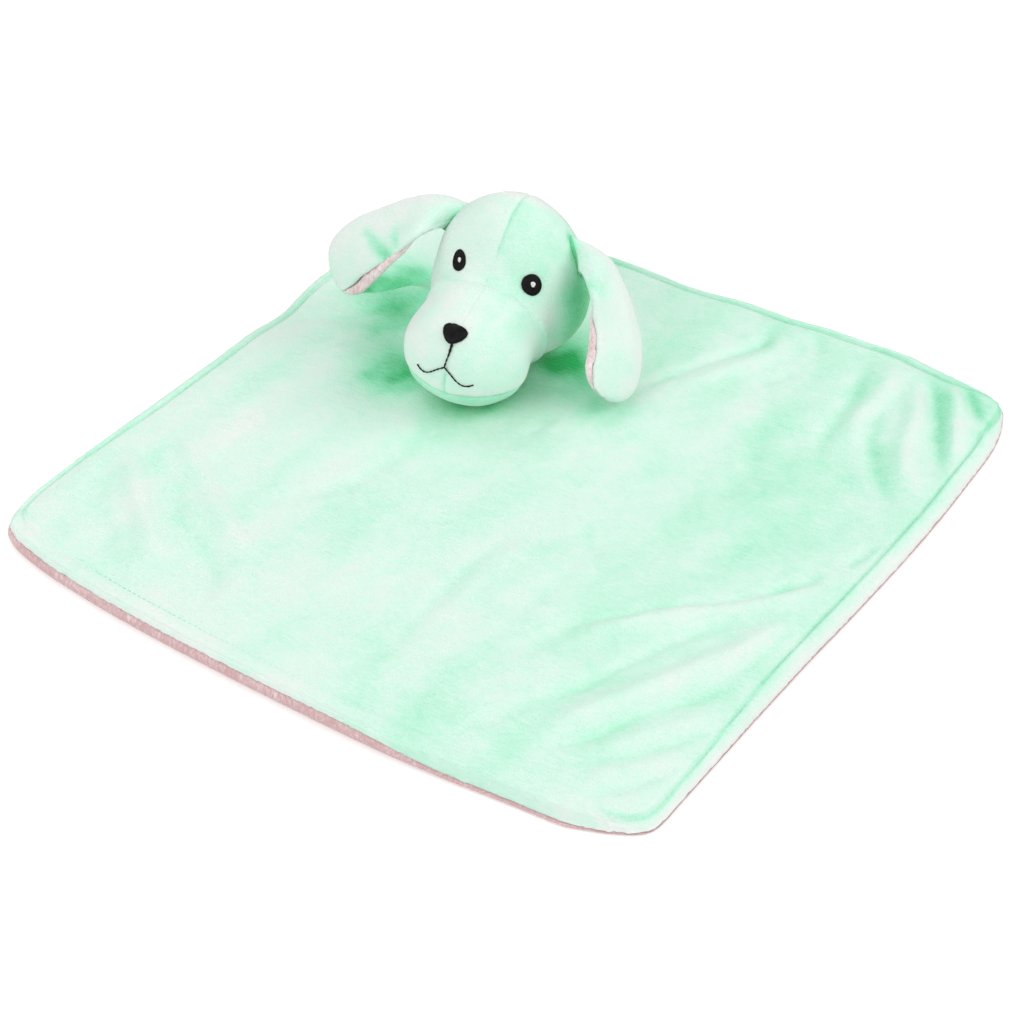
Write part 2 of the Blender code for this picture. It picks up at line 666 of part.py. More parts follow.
def eye(side_name):
    """A black satin oval with a white glint."""
    middle = Vector((sides[side_name] * EYE_SPACING / 2, -EYE_FORWARD, EYE_RISE))
    ground = (Vector((0, 0, 0)), HEAD_RADII, HEAD_TAPER_SHARE, middle)
    size = (EYE_SIZE, EYE_SIZE, SATIN_THICKNESS)
    satin_pad("eye_" + side_name, round_outline, PAD_MESH, size, SEAM_GAP, ground, BLACK_THREAD)
    ground = (Vector((0, 0, 0)), HEAD_RADII, HEAD_TAPER_SHARE, middle + Vector((GLINT_SHIFT, 0, GLINT_SHIFT)))
    size = (GLINT_SIZE, GLINT_SIZE, GLINT_THICKNESS)
    lift = SATIN_THICKNESS + 2 * SEAM_GAP
    satin_pad("eye_glint_" + side_name, round_outline, GLINT_MESH, size, lift, ground, WHITE_THREAD)


def nose():
    """The black satin nose on top of the muzzle."""
    ground = (MUZZLE_CENTRE, MUZZLE_RADII, 0, MUZZLE_CENTRE + Vector((0, -NOSE_FORWARD, NOSE_RISE)))
    size = (NOSE_WIDTH, NOSE_HEIGHT, NOSE_THICKNESS)
    return satin_pad("nose", nose_outline, PAD_MESH, size, SEAM_GAP, ground, BLACK_THREAD)


def thread_line(shares, mirror):
    """A tube of stitches over the muzzle, along a smooth curve through the shares."""
    steps = THREAD_STEPS * (len(shares) - 1)
    lift = SEAM_GAP + MOUTH_LINE_RADIUS
    points = []
    for step in range(steps + 1):
        x, z = along(shares, step / steps)
        unit = (mirror * x, -sqrt(1 - x * x - z * z), z)
        front = Vector([share * radius for share, radius in zip(unit, MUZZLE_RADII)])
        points.append(settle(MUZZLE_CENTRE + front, MUZZLE_CENTRE, MUZZLE_RADII, 0, lift))
    bm = bmesh.new()
    loops = []
    for index, point in enumerate(points):
        direction = points[min(index + 1, steps)] - points[max(index - 1, 0)]
        turn = direction.to_track_quat("Z", "Y").to_matrix().to_4x4()
        ring = bmesh.ops.create_circle(
            bm, cap_ends=index in (0, steps), segments=THREAD_SIDES, radius=MOUTH_LINE_RADIUS,
            matrix=Matrix.Translation(point) @ turn)["verts"]
        loops.append([edge for edge in bm.edges if edge.verts[0] in ring and edge.verts[1] in ring])
    for first, second in zip(loops, loops[1:]):
        bmesh.ops.bridge_loops(bm, edges=first + second)
    return bm


def mouth():
    """The line from the nose to the lips, and the smile to both sides of it."""
    line = on_head("mouth", thread_line(PHILTRUM_SHARES, 1), BLACK_THREAD)
    for side_name, side in sides.items():
        lip = head_cutter("lip_" + side_name, thread_line(LIP_SHARES, side))
        cut(line, "UNION", lip)
    return line


blanket_back_panel()
blanket_top_panel()
neck_collar()
for side_name in sides:
    head_panel(side_name)
    muzzle_panel(side_name)
    eye(side_name)
chin_panel()
head_stuffing()
ear("left", EAR_LEFT_SHARES)
ear("right", EAR_RIGHT_SHARES)
nose()
mouth()
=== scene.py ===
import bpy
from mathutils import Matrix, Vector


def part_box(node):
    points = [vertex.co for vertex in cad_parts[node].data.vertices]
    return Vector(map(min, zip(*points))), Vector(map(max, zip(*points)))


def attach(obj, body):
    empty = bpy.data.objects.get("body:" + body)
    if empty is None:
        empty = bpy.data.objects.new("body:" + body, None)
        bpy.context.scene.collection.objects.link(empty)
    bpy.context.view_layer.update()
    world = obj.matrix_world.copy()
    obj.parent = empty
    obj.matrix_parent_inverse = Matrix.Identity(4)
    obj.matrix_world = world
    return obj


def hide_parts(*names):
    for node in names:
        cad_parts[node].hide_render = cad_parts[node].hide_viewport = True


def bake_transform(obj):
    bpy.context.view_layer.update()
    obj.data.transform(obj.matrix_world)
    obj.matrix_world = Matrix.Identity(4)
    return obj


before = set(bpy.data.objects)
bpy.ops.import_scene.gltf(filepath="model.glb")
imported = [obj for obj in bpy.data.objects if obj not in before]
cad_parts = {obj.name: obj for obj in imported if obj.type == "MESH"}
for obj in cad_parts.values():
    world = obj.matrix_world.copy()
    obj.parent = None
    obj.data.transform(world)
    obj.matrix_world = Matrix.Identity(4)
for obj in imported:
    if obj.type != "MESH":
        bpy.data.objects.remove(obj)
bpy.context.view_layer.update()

from math import atan2, cos, exp, pi, radians, sin, sqrt

import bmesh
import bpy
import numpy as np
from mathutils import Matrix, Vector, noise

# Back of the blanket: a square of curly pink fleece, sewn face to face to the mint layer before
# the blanket was turned right side out. Its edge shows as a band along the front and as a thin line
# elsewhere, and the seam rolls it under on the right-hand side.
MM = 0.001
HALF_SIDE = 0.185
BACK_THICKNESS = 0.0042
BACK_CELLS = 150
RIM_PITCH_SHARE = 0.32
RIM_WIDTH_SHARE = 0.24
EDGE_ROLL = 0.0021
SEAM_GAP = 0.0003
SEAM_REACH = 0.012
TUCKED_DROP = 0.0027
THIN_DROP_SHARE = 0.8
FRONT_RISE = 0.0025
PINK_LIP = 0.0010
LIP_MORE_AT_FRONT = 0.0004
LIP_LESS_TUCKED = 0.0008
LIP_REACH = 0.006

# The right-hand and the front edge: the middle of each along its side, the slope of the lines that
# part it from the next edges, and over how many metres it fades there
RIGHT_EDGE = (-0.012, 0.9, 0.012)
FRONT_EDGE = (-0.010, 0.93, 0.026)

# The corner nearest the viewer: where it is, how far it droops and over what reach,
# and where along the front edge the back layer starts to thin toward it
NEAR_CORNER = (0.181, -0.166)
CORNER_DROOP = 0.0021
DROOP_REACH = 0.048
THIN_START = 0.040
THIN_REACH = 0.062

# The blanket's outline in millimetres, anticlockwise from the middle of its right-hand edge
OUTLINE = (
    (186, 0), (186.5, 50), (185.8, 84), (184, 118), (182.5, 140), (179.5, 156), (174.8, 169), (170.5, 174.5),
    (160, 178.5), (144, 181.8), (128, 185), (113, 187.9), (92, 187.8), (69, 187.9), (48, 185.9), (30, 186.4),
    (14, 186.2), (-3, 183.8), (-18, 183), (-36, 185.2), (-60, 186.3), (-110, 186.5), (-145, 184), (-165, 177),
    (-177, 165), (-184, 145), (-188, 120), (-190, 95), (-189, 75), (-186, 58), (-183.2, 42), (-185.2, 20),
    (-184.8, 0), (-184, -50), (-183.6, -95), (-182.6, -130), (-180.5, -150), (-175.5, -164), (-165, -172.5),
    (-142, -178.5), (-112, -182.3), (-80, -184.8), (-40, -186.4), (10, -187.3), (60, -187), (95, -184.6),
    (128, -181.3), (151, -179.2), (166, -175), (177, -169.5), (182.6, -164.5), (184.6, -157), (184.5, -140),
    (184.5, -90), (184.9, -40),
)
STEPS_PER_POINT = 8


def spline(before, start, end, after, t):
    """A point between start and end on a smooth curve through all four."""
    bent = 2 * before - 5 * start + 4 * end - after
    twisted = 3 * start - before - 3 * end + after
    return 0.5 * (2 * start + (end - before) * t + bent * t * t + twisted * t ** 3)


def outline_curve():
    """The blanket's edge as a closed curve of points, in metres."""
    corners = [Vector(point) * MM for point in OUTLINE]
    points = []
    for index in range(len(corners)):
        four = [corners[(index + shift) % len(corners)] for shift in (-1, 0, 1, 2)]
        points += [spline(*four, step / STEPS_PER_POINT) for step in range(STEPS_PER_POINT)]
    return np.array(points)


EDGE = outline_curve()
EDGE_ANGLES = np.arctan2(EDGE[:, 1], EDGE[:, 0])
EDGE_RADII = np.hypot(EDGE[:, 0], EDGE[:, 1])


def edge_radius(x, y):
    """How far the blanket's edge is from its middle, in the direction of a point."""
    return np.interp(np.arctan2(y, x), EDGE_ANGLES, EDGE_RADII, period=2 * pi)


def smooth(share):
    """Runs from 0 to 1 with soft ends."""
    share = np.clip(share, 0, 1)
    return share * share * (3 - 2 * share)


def toward_rim(share):
    """Draws the mesh lines together at the rim, where the seam and the topstitch are."""
    from_rim = 1 - abs(share)
    pitch = RIM_PITCH_SHARE + (1 - RIM_PITCH_SHARE) * smooth(from_rim / RIM_WIDTH_SHARE)
    return np.sign(share) * (1 - from_rim * pitch)


def lie_flat(u, v):
    """Where a point of a unit square lies on the blanket, and how far it is from the edge."""
    u, v = toward_rim(u), toward_rim(v)
    out = np.maximum(abs(u), abs(v))
    square = np.hypot(u, v) / np.maximum(out, 1e-9)
    stretch = HALF_SIDE + (edge_radius(u, v) / np.maximum(square, 1) - HALF_SIDE) * out ** 6
    return u * stretch, v * stretch, (1 - out) * HALF_SIDE


def along_edge(outward, sideways, edge):
    """Runs to 1 along one edge of the blanket and fades toward the corners at its ends."""
    middle, slope, reach = edge
    return smooth((outward - abs(sideways - middle) * slope) / reach)


def tucked(x, y):
    """Runs to 1 on the right-hand side of the blanket, where the seam rolls under."""
    return along_edge(x, y, RIGHT_EDGE)


def at_front(x, y):
    """Runs to 1 along the front edge, where the back layer shows its whole thickness."""
    return along_edge(-y, x, FRONT_EDGE)


def droop(x, y):
    """How far the corner nearest the viewer lies lower than the rest."""
    away = np.hypot(x - NEAR_CORNER[0], y - NEAR_CORNER[1])
    return CORNER_DROOP * np.exp(-(away / DROOP_REACH) ** 2)


def toward_near_corner(x):
    """Runs to 1 where the front edge comes close to the corner nearest the viewer."""
    return smooth((x - THIN_START) / THIN_REACH)


def seam_drop(x, y, from_edge):
    """How far the seam is rolled down, or up where the number is negative."""
    at_rim = smooth(1 - from_edge / SEAM_REACH)
    thin = at_front(x, y) * toward_near_corner(x)
    under = np.maximum(tucked(x, y), THIN_DROP_SHARE * thin)
    rolled = (TUCKED_DROP * under - FRONT_RISE * (at_front(x, y) - thin)) * at_rim
    return np.minimum(rolled + droop(x, y), TUCKED_DROP + SEAM_GAP)


def two_sided_sheet(long_cells, cross_cells):
    """A closed flat sheet of two faces, with the points of the lower and of the upper one."""
    bm = bmesh.new()
    bmesh.ops.create_grid(bm, x_segments=long_cells, y_segments=cross_cells, size=1)
    lower = list(bm.verts)
    lifted = bmesh.ops.extrude_face_region(bm, geom=list(bm.faces))
    upper = [item for item in lifted["geom"] if isinstance(item, bmesh.types.BMVert)]
    return bm, ((lower, False), (upper, True))


def blanket_layer(cells, heights):
    """A closed sheet on the blanket's outline, shaped by a function of the place on it."""
    bm, sides = two_sided_sheet(cells, cells)
    for verts, is_top in sides:
        grid = np.array([vert.co for vert in verts])
        points = heights(*lie_flat(grid[:, 0], grid[:, 1]), is_top)
        for vert, point in zip(verts, points):
            vert.co = point
    bmesh.ops.recalc_face_normals(bm, faces=bm.faces)
    return bm


def pink_heights(x, y, from_edge, is_top):
    """The back layer: flat underneath, full at its rolled edge."""
    roll = np.clip(1 - from_edge / EDGE_ROLL, 0, 1)
    full = BACK_THICKNESS - seam_drop(x, y, from_edge)
    tuck = EDGE_ROLL * (1 - np.sqrt(1 - roll ** 2)) * (full / BACK_THICKNESS)
    past = PINK_LIP + LIP_MORE_AT_FRONT * at_front(x, y) - LIP_LESS_TUCKED * tucked(x, y)
    lip = 1 + past * smooth(1 - from_edge / LIP_REACH) / HALF_SIDE
    z = full - tuck if is_top else tuck
    return np.stack([x * lip, y * lip, np.broadcast_to(z, x.shape)], 1)


def linear(hex_colour):
    """A colour's sRGB hex as the shader's linear numbers."""
    parts = [int(hex_colour[i:i + 2], 16) / 255 for i in (1, 3, 5)]
    return [c / 12.92 if c <= 0.04045 else ((c + 0.055) / 1.055) ** 2.4 for c in parts] + [1]


def link_inputs(owner, node, links):
    """Links other nodes' outputs to a node's inputs."""
    for name, output in links.items():
        owner.node_tree.links.new(output, node.inputs[name])


def add_node(owner, kind, settings=None, links=None, steps=()):
    """Adds a node to a material or a world, with its settings, its links and a ramp's steps of colour."""
    node = owner.node_tree.nodes.new("ShaderNode" + kind)
    for name, value in (settings or {}).items():
        if isinstance(name, int) or name in node.inputs:
            node.inputs[name].default_value = value
        else:
            setattr(node, name, value)
    link_inputs(owner, node, links or {})
    if steps:
        elements = node.color_ramp.elements
        for element, (position, colour) in zip(elements, (steps[0], steps[-1])):
            element.position, element.color = position, linear(colour)
        for position, colour in steps[1:-1]:
            elements.new(position).color = linear(colour)
    return node


def new_material(name, finish):
    """A material whose shader has the plain values of its finish."""
    material = bpy.data.materials.new(name)
    material.use_nodes = True
    shader = material.node_tree.nodes["Principled BSDF"]
    for socket, value in finish.items():
        shader.inputs[socket].default_value = value
    return material, shader


# Fleece: polyester knitted and teased into short curls, which look matte with darker gaps between them.
# Low down, at the blanket's edge, its colour is darker: painted shade.
CURL_SIZE = 1.3 * MM
CURL_LENGTH = 3.4 * MM
CURL_DEPTH = 0.7 * MM
FLEECE_PATCH = 11 * MM
SHADED_BELOW = 20 * MM
LOW_SHADE_TONE = -0.26
FLEECE_STEPS = ((0.40, "#DDB5B6"), (0.85, "#FDEEEF"))
FLEECE_FINISH = {"Roughness": 0.95, "Specular IOR Level": 0.15, "Sheen Weight": 0.35, "Sheen Roughness": 0.5,
                 "Sheen Tint": linear("#FFF1F1")}


def curly_fleece():
    """Knitted polyester fleece with a short curled pile."""
    material, shader = new_material("curly_polyester_fleece", FLEECE_FINISH)
    where = add_node(material, "TexCoord").outputs["Object"]
    ribs = add_node(material, "Mapping", {"Scale": (1 / CURL_SIZE, 1 / CURL_SIZE, 1 / CURL_LENGTH)},
                    {"Vector": where}).outputs["Vector"]
    curls = add_node(material, "TexNoise", {"Scale": 1, "Detail": 3, "Roughness": 0.6, "Distortion": 0.8},
                     {"Vector": ribs}).outputs["Fac"]
    patches = add_node(material, "TexNoise", {"Scale": 1 / FLEECE_PATCH, "Detail": 2},
                       {"Vector": where}).outputs["Fac"]
    blend = add_node(material, "Math", {"operation": "MULTIPLY_ADD", 1: 0.35}, {0: patches, 2: curls})
    level = add_node(material, "SeparateXYZ", {}, {"Vector": where}).outputs["Z"]
    # Painted shade: the fleece darkens toward the floor
    low_shade = add_node(material, "MapRange", {"From Max": SHADED_BELOW, "To Min": LOW_SHADE_TONE, "To Max": 0},
                       {"Value": level}).outputs["Result"]
    tone = add_node(material, "Math", {"operation": "ADD"}, {0: blend.outputs[0], 1: low_shade}).outputs[0]
    colour = add_node(material, "ValToRGB", {}, {"Fac": tone}, FLEECE_STEPS).outputs["Color"]
    bump = add_node(material, "Bump", {"Strength": 0.9, "Distance": CURL_DEPTH}, {"Height": curls})
    link_inputs(material, shader, {"Base Color": colour, "Normal": bump.outputs["Normal"]})
    return material


PINK_FLEECE = curly_fleece()


def make_object(name, bm, material):
    """A new object of one material from a finished bmesh."""
    mesh = bpy.data.meshes.new(name)
    bm.to_mesh(mesh)
    bm.free()
    mesh.shade_smooth()
    mesh.materials.append(material)
    made = bpy.data.objects.new(name, mesh)
    bpy.context.collection.objects.link(made)
    return made


def make_piece(name, bm, material, body, slot, *nodes):
    """A finished piece that rides on a body and stands for its solids."""
    piece = make_object(name, bm, material)
    if body:
        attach(piece, body)
    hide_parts(*nodes)
    return piece


pink_back = make_piece("pink_fleece_back", blanket_layer(BACK_CELLS, pink_heights), PINK_FLEECE,
                       "blanket", "pink_plush", "blanket_back_panel")

# Front of the blanket: a square of mint velboa, turned over a seam at the edge and topstitched about
# 6 mm inside it, 10 mm along the front. It lies in soft folds that run in from its corners.
TOP_THICKNESS = 0.0035
TOP_PANEL_BASE = BACK_THICKNESS + SEAM_GAP
TOP_CELLS = 220
RIM_ROLL = 0.0046
ROLL_MORE_TUCKED = 0.0018
ROLL_LESS_AT_FRONT = 0.0012
DROOP_SHARE = 0.7
STITCH_DEPTH = 0.0015
STITCH_WIDTH = 0.0008
SLACK_AT_FRONT = 0.65
SLACK_UNSTITCHED = 0.9
UNSTITCHED_SPREAD = 1.6
STRIP_PUFF = 0.0003
PUFF_WIDTH = 0.003
PUFF_SHARE = 0.55

# The topstitch's distance from the edge, also along the front, and how much narrower it gets
# toward the near corner, where that starts and over what reach
STITCH_INSET = 0.0062
FRONT_INSET = 0.0104
NARROWING = 0.38
NARROW_START = -0.050
NARROW_REACH = 0.090

# The right corner, where the topstitch comes closest to the edge: its place, reach and share of the inset
RIGHT_TIP = (0.172, 0.175)
TIP_REACH = 0.034
TIP_INSET_SHARE = 0.2

# Slow rise and fall of the cloth: the size of a swell and its height in metres, and the noise's layer
SWELLS = ((0.050, 0.0011, 0), (0.021, 0.0006, 3), (0.010, 0.00025, 7))
RIM_SWELL = (0.030, 0.0005, 11)
RIM_NAP = (0.0024, 0.0006, 13)
RIM_SWELL_START = 0.003
NAP_REACH = 0.004
LOFT = 0.0005
LOFT_REACH = 0.008
DEEPEST_VALLEY = -0.0016

# Folds: points of a crest in millimetres, then its height and half width. A negative height is a valley.
FOLDS = (
    (((112, -152), (122, -138), (136, -111), (149, -86), (160, -62), (168, -39), (173, -24)), 4.4, 11),
    (((120, -158), (128, -147), (137, -136), (145, -116), (153, -103), (162, -92), (172, -73)), -2.0, 6),
    (((169, -73), (167, -66), (168, -57), (170, -42), (173, -29)), -2.0, 5),
    (((108, -130), (116, -113), (122, -97), (127, -84), (132, -70), (138, -59), (145, -48), (148, -35)),
     -1.5, 6),
    (((90, -98), (104, -76), (118, -60), (132, -46), (148, -32), (160, -16), (165, 2), (171, 16)), 2.4, 9),
    (((86, -92), (92, -79), (99, -71), (106, -65), (112, -56), (124, -46), (137, -35), (148, -23),
      (155, -12)), -1.5, 5),
    (((146, -22), (155, -12), (160, -5), (166, 8)), -2.6, 6),
    (((168, 16), (172, 26), (175, 42)), -2.0, 5),
    (((136, -160), (151, -141), (163, -127), (171, -115), (176, -105)), -1.4, 5),
    (((140, -148), (154, -126), (166, -108), (174, -94)), 1.9, 8),
    (((150, -170), (162, -158), (170, -146), (177, -132)), -1.2, 4),
    (((148, -160), (162, -143), (174, -124)), 1.3, 7),
    (((130, 178), (140, 160), (154, 139), (168, 112), (175, 98)), -2.8, 7),
    (((144, 176), (155, 156), (166, 133), (175, 115)), 2.6, 7),
    (((148, 177), (159, 165), (172, 149)), -2.4, 5),
    (((122, 142), (126, 124), (129, 112), (147, 87), (168, 66)), -2.2, 8),
    (((130, 168), (143, 138), (150, 112), (160, 94), (173, 80)), 2.7, 9),
    (((97, 174), (107, 138), (111, 106), (118, 78)), -1.8, 8),
    (((112, 176), (119, 150), (119, 124), (130, 98)), 1.9, 9),
    (((43, 178), (46, 152), (33, 128), (21, 105), (15, 82)), -1.9, 6),
    (((53, 176), (57, 150), (44, 122), (30, 98)), 2.0, 9),
    (((64, 178), (77, 160)), -1.6, 7),
    (((74, 142), (63, 116)), -1.0, 8),
    (((80, 96), (96, 56), (96, 22)), -1.0, 9),
    (((-56, 6), (-52, -24), (-55, -54), (-72, -76), (-88, -106)), -1.0, 9),
    (((31, -36), (27, -73), (28, -96), (30, -122), (33, -142), (31, -160)), -1.0, 7),
    (((40, -44), (37, -80), (40, -120)), 0.8, 9),
    (((126, -98), (111, -122), (101, -142), (93, -156), (88, -172)), -1.0, 7),
    (((67, -46), (67, -72), (68, -95)), -0.8, 7),
    (((90, -66), (90, -87), (80, -118)), -0.8, 8),
    (((-8, 18), (-9, 34), (-6, 48)), -1.2, 7),
    (((-176, -102), (-152, -131), (-126, -152), (-92, -172)), -1.7, 9),
    (((-174, -80), (-148, -96), (-125, -107), (-107, -123), (-81, -134), (-64, -147), (-52, -168)), -1.9, 8),
    (((-165, -94), (-140, -116), (-112, -138), (-84, -158)), 2.8, 9),
    (((-160, -62), (-138, -80), (-114, -94), (-93, -108), (-70, -121), (-50, -138)), 2.4, 9),
    (((-163, 70), (-155, 73), (-147, 77), (-140, 84), (-134, 93), (-127, 104)), 5.6, 8),
    (((-156, 84), (-147, 93), (-140, 104), (-135, 116)), -2.2, 7),
    (((-176, 40), (-160, 50), (-146, 58)), -1.0, 7),
    (((50, -22), (60, -30), (76, -40)), -1.0, 8),
)
FOLD_SHARPNESS = 0.62
FOLD_TAPER = 0.30
FOLD_END = 0.08


def from_line(points, start, end):
    """How far points are from a straight line between two places, and at what share of its length."""
    start = np.array(start)
    run = np.array(end) - start
    share = np.clip((points - start) @ run / (run @ run), 0, 1)
    away = points - start - share[..., None] * run
    return np.sqrt((away ** 2).sum(axis=-1)), share


def near_crest(x, y, crest):
    """Distance of points from a fold's crest, and how far along the crest they lie."""
    corners = np.array(crest) * MM
    lengths = np.hypot(*np.diff(corners, axis=0).T)
    nearest = np.full(x.shape, HALF_SIDE)
    place = np.zeros(x.shape)
    for index, ends in enumerate(zip(corners, corners[1:])):
        away, share = from_line(np.stack([x, y], 1), *ends)
        so_far = (lengths[:index].sum() + lengths[index] * share) / lengths.sum()
        place = np.where(away < nearest, so_far, place)
        nearest = np.minimum(nearest, away)
    return nearest, place


def fold_lift(x, y):
    """How far the folds lift or sink the mint layer."""
    lift = np.zeros(x.shape)
    for crest, height, half_width in FOLDS:
        away, place = near_crest(x, y, crest)
        across = np.exp(-(away / (half_width * MM * FOLD_SHARPNESS)) ** 2)
        taper = smooth(np.minimum(place, 1 - place) / FOLD_TAPER + FOLD_END)
        lift += height * MM * across * taper
    return lift


def wander(x, y, size, height, layer=0):
    """Slow random rise and fall over the cloth, with swells of a size in metres."""
    points = zip(x / size, y / size)
    return height * np.array([noise.noise(Vector((a, b, layer))) for a, b in points])


def stitch_inset(x, y):
    """How far inside the edge the topstitch runs: less toward the near corner, and least at the right one."""
    from_tip = np.hypot(x - RIGHT_TIP[0], y - RIGHT_TIP[1])
    narrow = NARROWING * smooth((NARROW_START - y) / NARROW_REACH) * (1 - at_front(x, y))
    inset = STITCH_INSET * (1 - narrow) + (FRONT_INSET - STITCH_INSET) * at_front(x, y)
    return inset * (TIP_INSET_SHARE + (1 - TIP_INSET_SHARE) * smooth(from_tip / TIP_REACH))


def unstitched(x, y):
    """Runs to 1 where the topstitch is lost in the pile, on the front edge near the corner."""
    near_end = np.maximum(droop(x, y) / CORNER_DROOP, toward_near_corner(x))
    return smooth(at_front(x, y) * UNSTITCHED_SPREAD) * near_end


def stitch_depth(x, y):
    """How deep the topstitch draws the pile in: less along the front, and hardly at the near corner."""
    return STITCH_DEPTH * (1 - SLACK_AT_FRONT * at_front(x, y)) * (1 - SLACK_UNSTITCHED * unstitched(x, y))


def mint_heights(x, y, from_edge, is_top):
    """The mint layer: turned over at its rim, drawn in at the topstitch and raised at the folds."""
    inset = stitch_inset(x, y)
    inside = smooth((from_edge - inset - STITCH_WIDTH) / LOFT_REACH)
    swell = sum(wander(x, y, *one) for one in SWELLS)
    lift = np.maximum(fold_lift(x, y) + swell + LOFT, DEEPEST_VALLEY) * inside
    rim_swell = wander(x, y, *RIM_SWELL) * (1 - inside) * smooth(from_edge / RIM_SWELL_START)
    drop = seam_drop(x, y, from_edge)
    uneven = 1 + wander(x, y, *RIM_NAP) * smooth(1 - from_edge / NAP_REACH) / HALF_SIDE
    x, y = x * uneven, y * uneven
    if not is_top:
        return np.stack([x, y, TOP_PANEL_BASE + np.maximum(lift, 0) - drop], 1)
    roll_width = RIM_ROLL + ROLL_MORE_TUCKED * tucked(x, y) - ROLL_LESS_AT_FRONT * at_front(x, y)
    roll = np.clip(1 - from_edge / roll_width, 0, 1)
    skin = (TOP_THICKNESS + drop * smooth(from_edge / roll_width)) * np.sqrt(1 - roll ** 2)
    puff = STRIP_PUFF * np.exp(-((from_edge - inset * PUFF_SHARE) / PUFF_WIDTH) ** 2)
    stitched = stitch_depth(x, y) * np.exp(-((from_edge - inset) / STITCH_WIDTH) ** 2)
    z = TOP_PANEL_BASE - drop + skin + puff + rim_swell - stitched + lift - DROOP_SHARE * droop(x, y)
    return np.stack([x, y, np.maximum(z, TOP_PANEL_BASE - drop)], 1)


# Velboa: short-pile knitted polyester velvet. Its pile lies in patches, which look frosted where it is
# stroked up and deep green where it is stroked down or parted, so that its root shows; painted shade and
# highlights use the same scale.
# The hairs are drawn a little coarser than they are, because finer ones wouldn't show.
STROKE_SIZE = 15 * MM
PILE_SIZE = 0.9 * MM
PILE_DEPTH = 0.6 * MM
ROW_LENGTH = 5.5 * MM
ROW_PITCH = 1.0 * MM
STROKE_TONE = 0.62
HAIR_TONE = 0.42
PILE_TONE = 0.26
MINT_STEPS = ((0.05, "#EEF7F1"), (0.22, "#D9FAEA"), (0.36, "#BFF7DC"), (0.54, "#93EBC0"), (0.90, "#14BE68"))
VELBOA_FINISH = {"Roughness": 0.9, "Specular IOR Level": 0.15, "Sheen Weight": 0.8, "Sheen Roughness": 0.35,
                 "Sheen Tint": linear("#FFF6F8")}


def velboa():
    """Short-pile velboa that reads from the mesh how deep its pile looks, painted shade and highlights
    included.
    """
    material, shader = new_material("mint_polyester_velboa", VELBOA_FINISH)
    where = add_node(material, "TexCoord").outputs["Object"]
    tone = add_node(material, "Attribute", {"attribute_name": "nap_and_painted_light"}).outputs["Fac"]
    stroke_settings = {"Scale": 1 / STROKE_SIZE, "Detail": 6, "Roughness": 0.66, "Distortion": 0.5}
    strokes = add_node(material, "TexNoise", stroke_settings, {"Vector": where}).outputs["Fac"]
    pile = add_node(material, "TexNoise", {"Scale": 1 / PILE_SIZE, "Detail": 2, "Roughness": 0.6},
                    {"Vector": where}).outputs["Fac"]
    rows = add_node(material, "Mapping", {"Scale": (1 / ROW_LENGTH, 1 / ROW_PITCH, 1 / ROW_PITCH)},
                    {"Vector": where}).outputs["Vector"]
    hairs = add_node(material, "TexNoise", {"Scale": 1, "Detail": 2}, {"Vector": rows}).outputs["Fac"]
    for pattern, weight in ((strokes, STROKE_TONE), (hairs, HAIR_TONE), (pile, PILE_TONE)):
        centred = add_node(material, "Math", {"operation": "SUBTRACT", 1: 0.5}, {0: pattern}).outputs[0]
        added = {0: centred, 2: tone}
        tone = add_node(material, "Math", {"operation": "MULTIPLY_ADD", 1: weight}, added).outputs[0]
    half = add_node(material, "Math", {"operation": "MULTIPLY", 1: 0.5}, {0: tone}).outputs[0]
    colour = add_node(material, "ValToRGB", {}, {"Fac": half}, MINT_STEPS).outputs["Color"]
    height = add_node(material, "Math", {"operation": "MULTIPLY_ADD", 1: 0.6}, {0: hairs, 2: pile}).outputs[0]
    bump = add_node(material, "Bump", {"Strength": 0.75, "Distance": PILE_DEPTH}, {"Height": height})
    link_inputs(material, shader, {"Base Color": colour, "Normal": bump.outputs["Normal"]})
    return material


MINT_VELBOA = velboa()


def store_nap_and_light(piece, shares):
    """Stores how deep the pile looks at each point of the mesh, from 0, frosted, to 1, deep: its stroking,
    with painted shade and highlights.
    """
    attribute = piece.data.attributes.new("nap_and_painted_light", "FLOAT", "POINT")
    attribute.data.foreach_set("value", np.asarray(shares, np.float32))


def points_of(piece):
    """The mesh's points as rows of numbers."""
    flat = np.zeros(3 * len(piece.data.vertices), np.float32)
    piece.data.vertices.foreach_get("co", flat)
    return flat.reshape(-1, 3)


# The head's place and size, from the frame and from the head's own proportions. They come first,
# because painted shade darkens the blanket's pile under and beside the head.
HEAD_RADII = Vector((0.041, 0.0365, 0.0435))
HEAD_TAPER = 0.17
HEAD_SEAT_SHARE = 0.95
HEAD_TURN = radians(12.9)
HEAD_LEAN = radians(8.3)
HEAD_CENTRE = Vector((0, 0, 0))
HEAD_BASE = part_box("head_panel_left")[0].z
NECK_MIDDLE = (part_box("neck_collar")[0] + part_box("neck_collar")[1]) / 2
HEAD_MIDDLE = Vector((NECK_MIDDLE.x, NECK_MIDDLE.y, HEAD_BASE + HEAD_SEAT_SHARE * HEAD_RADII.z))
MUZZLE_RADII = Vector((0.033, 0.0327, 0.0273))
MUZZLE_FORWARD = 0.048
MUZZLE_LOW = 0.01556
MUZZLE_MIDDLE = Vector((0, -MUZZLE_FORWARD, -MUZZLE_LOW))
ON_HEAD = (Matrix.Translation(HEAD_MIDDLE) @ Matrix.Rotation(HEAD_TURN, 4, "Z")
           @ Matrix.Rotation(HEAD_LEAN, 4, "Y"))
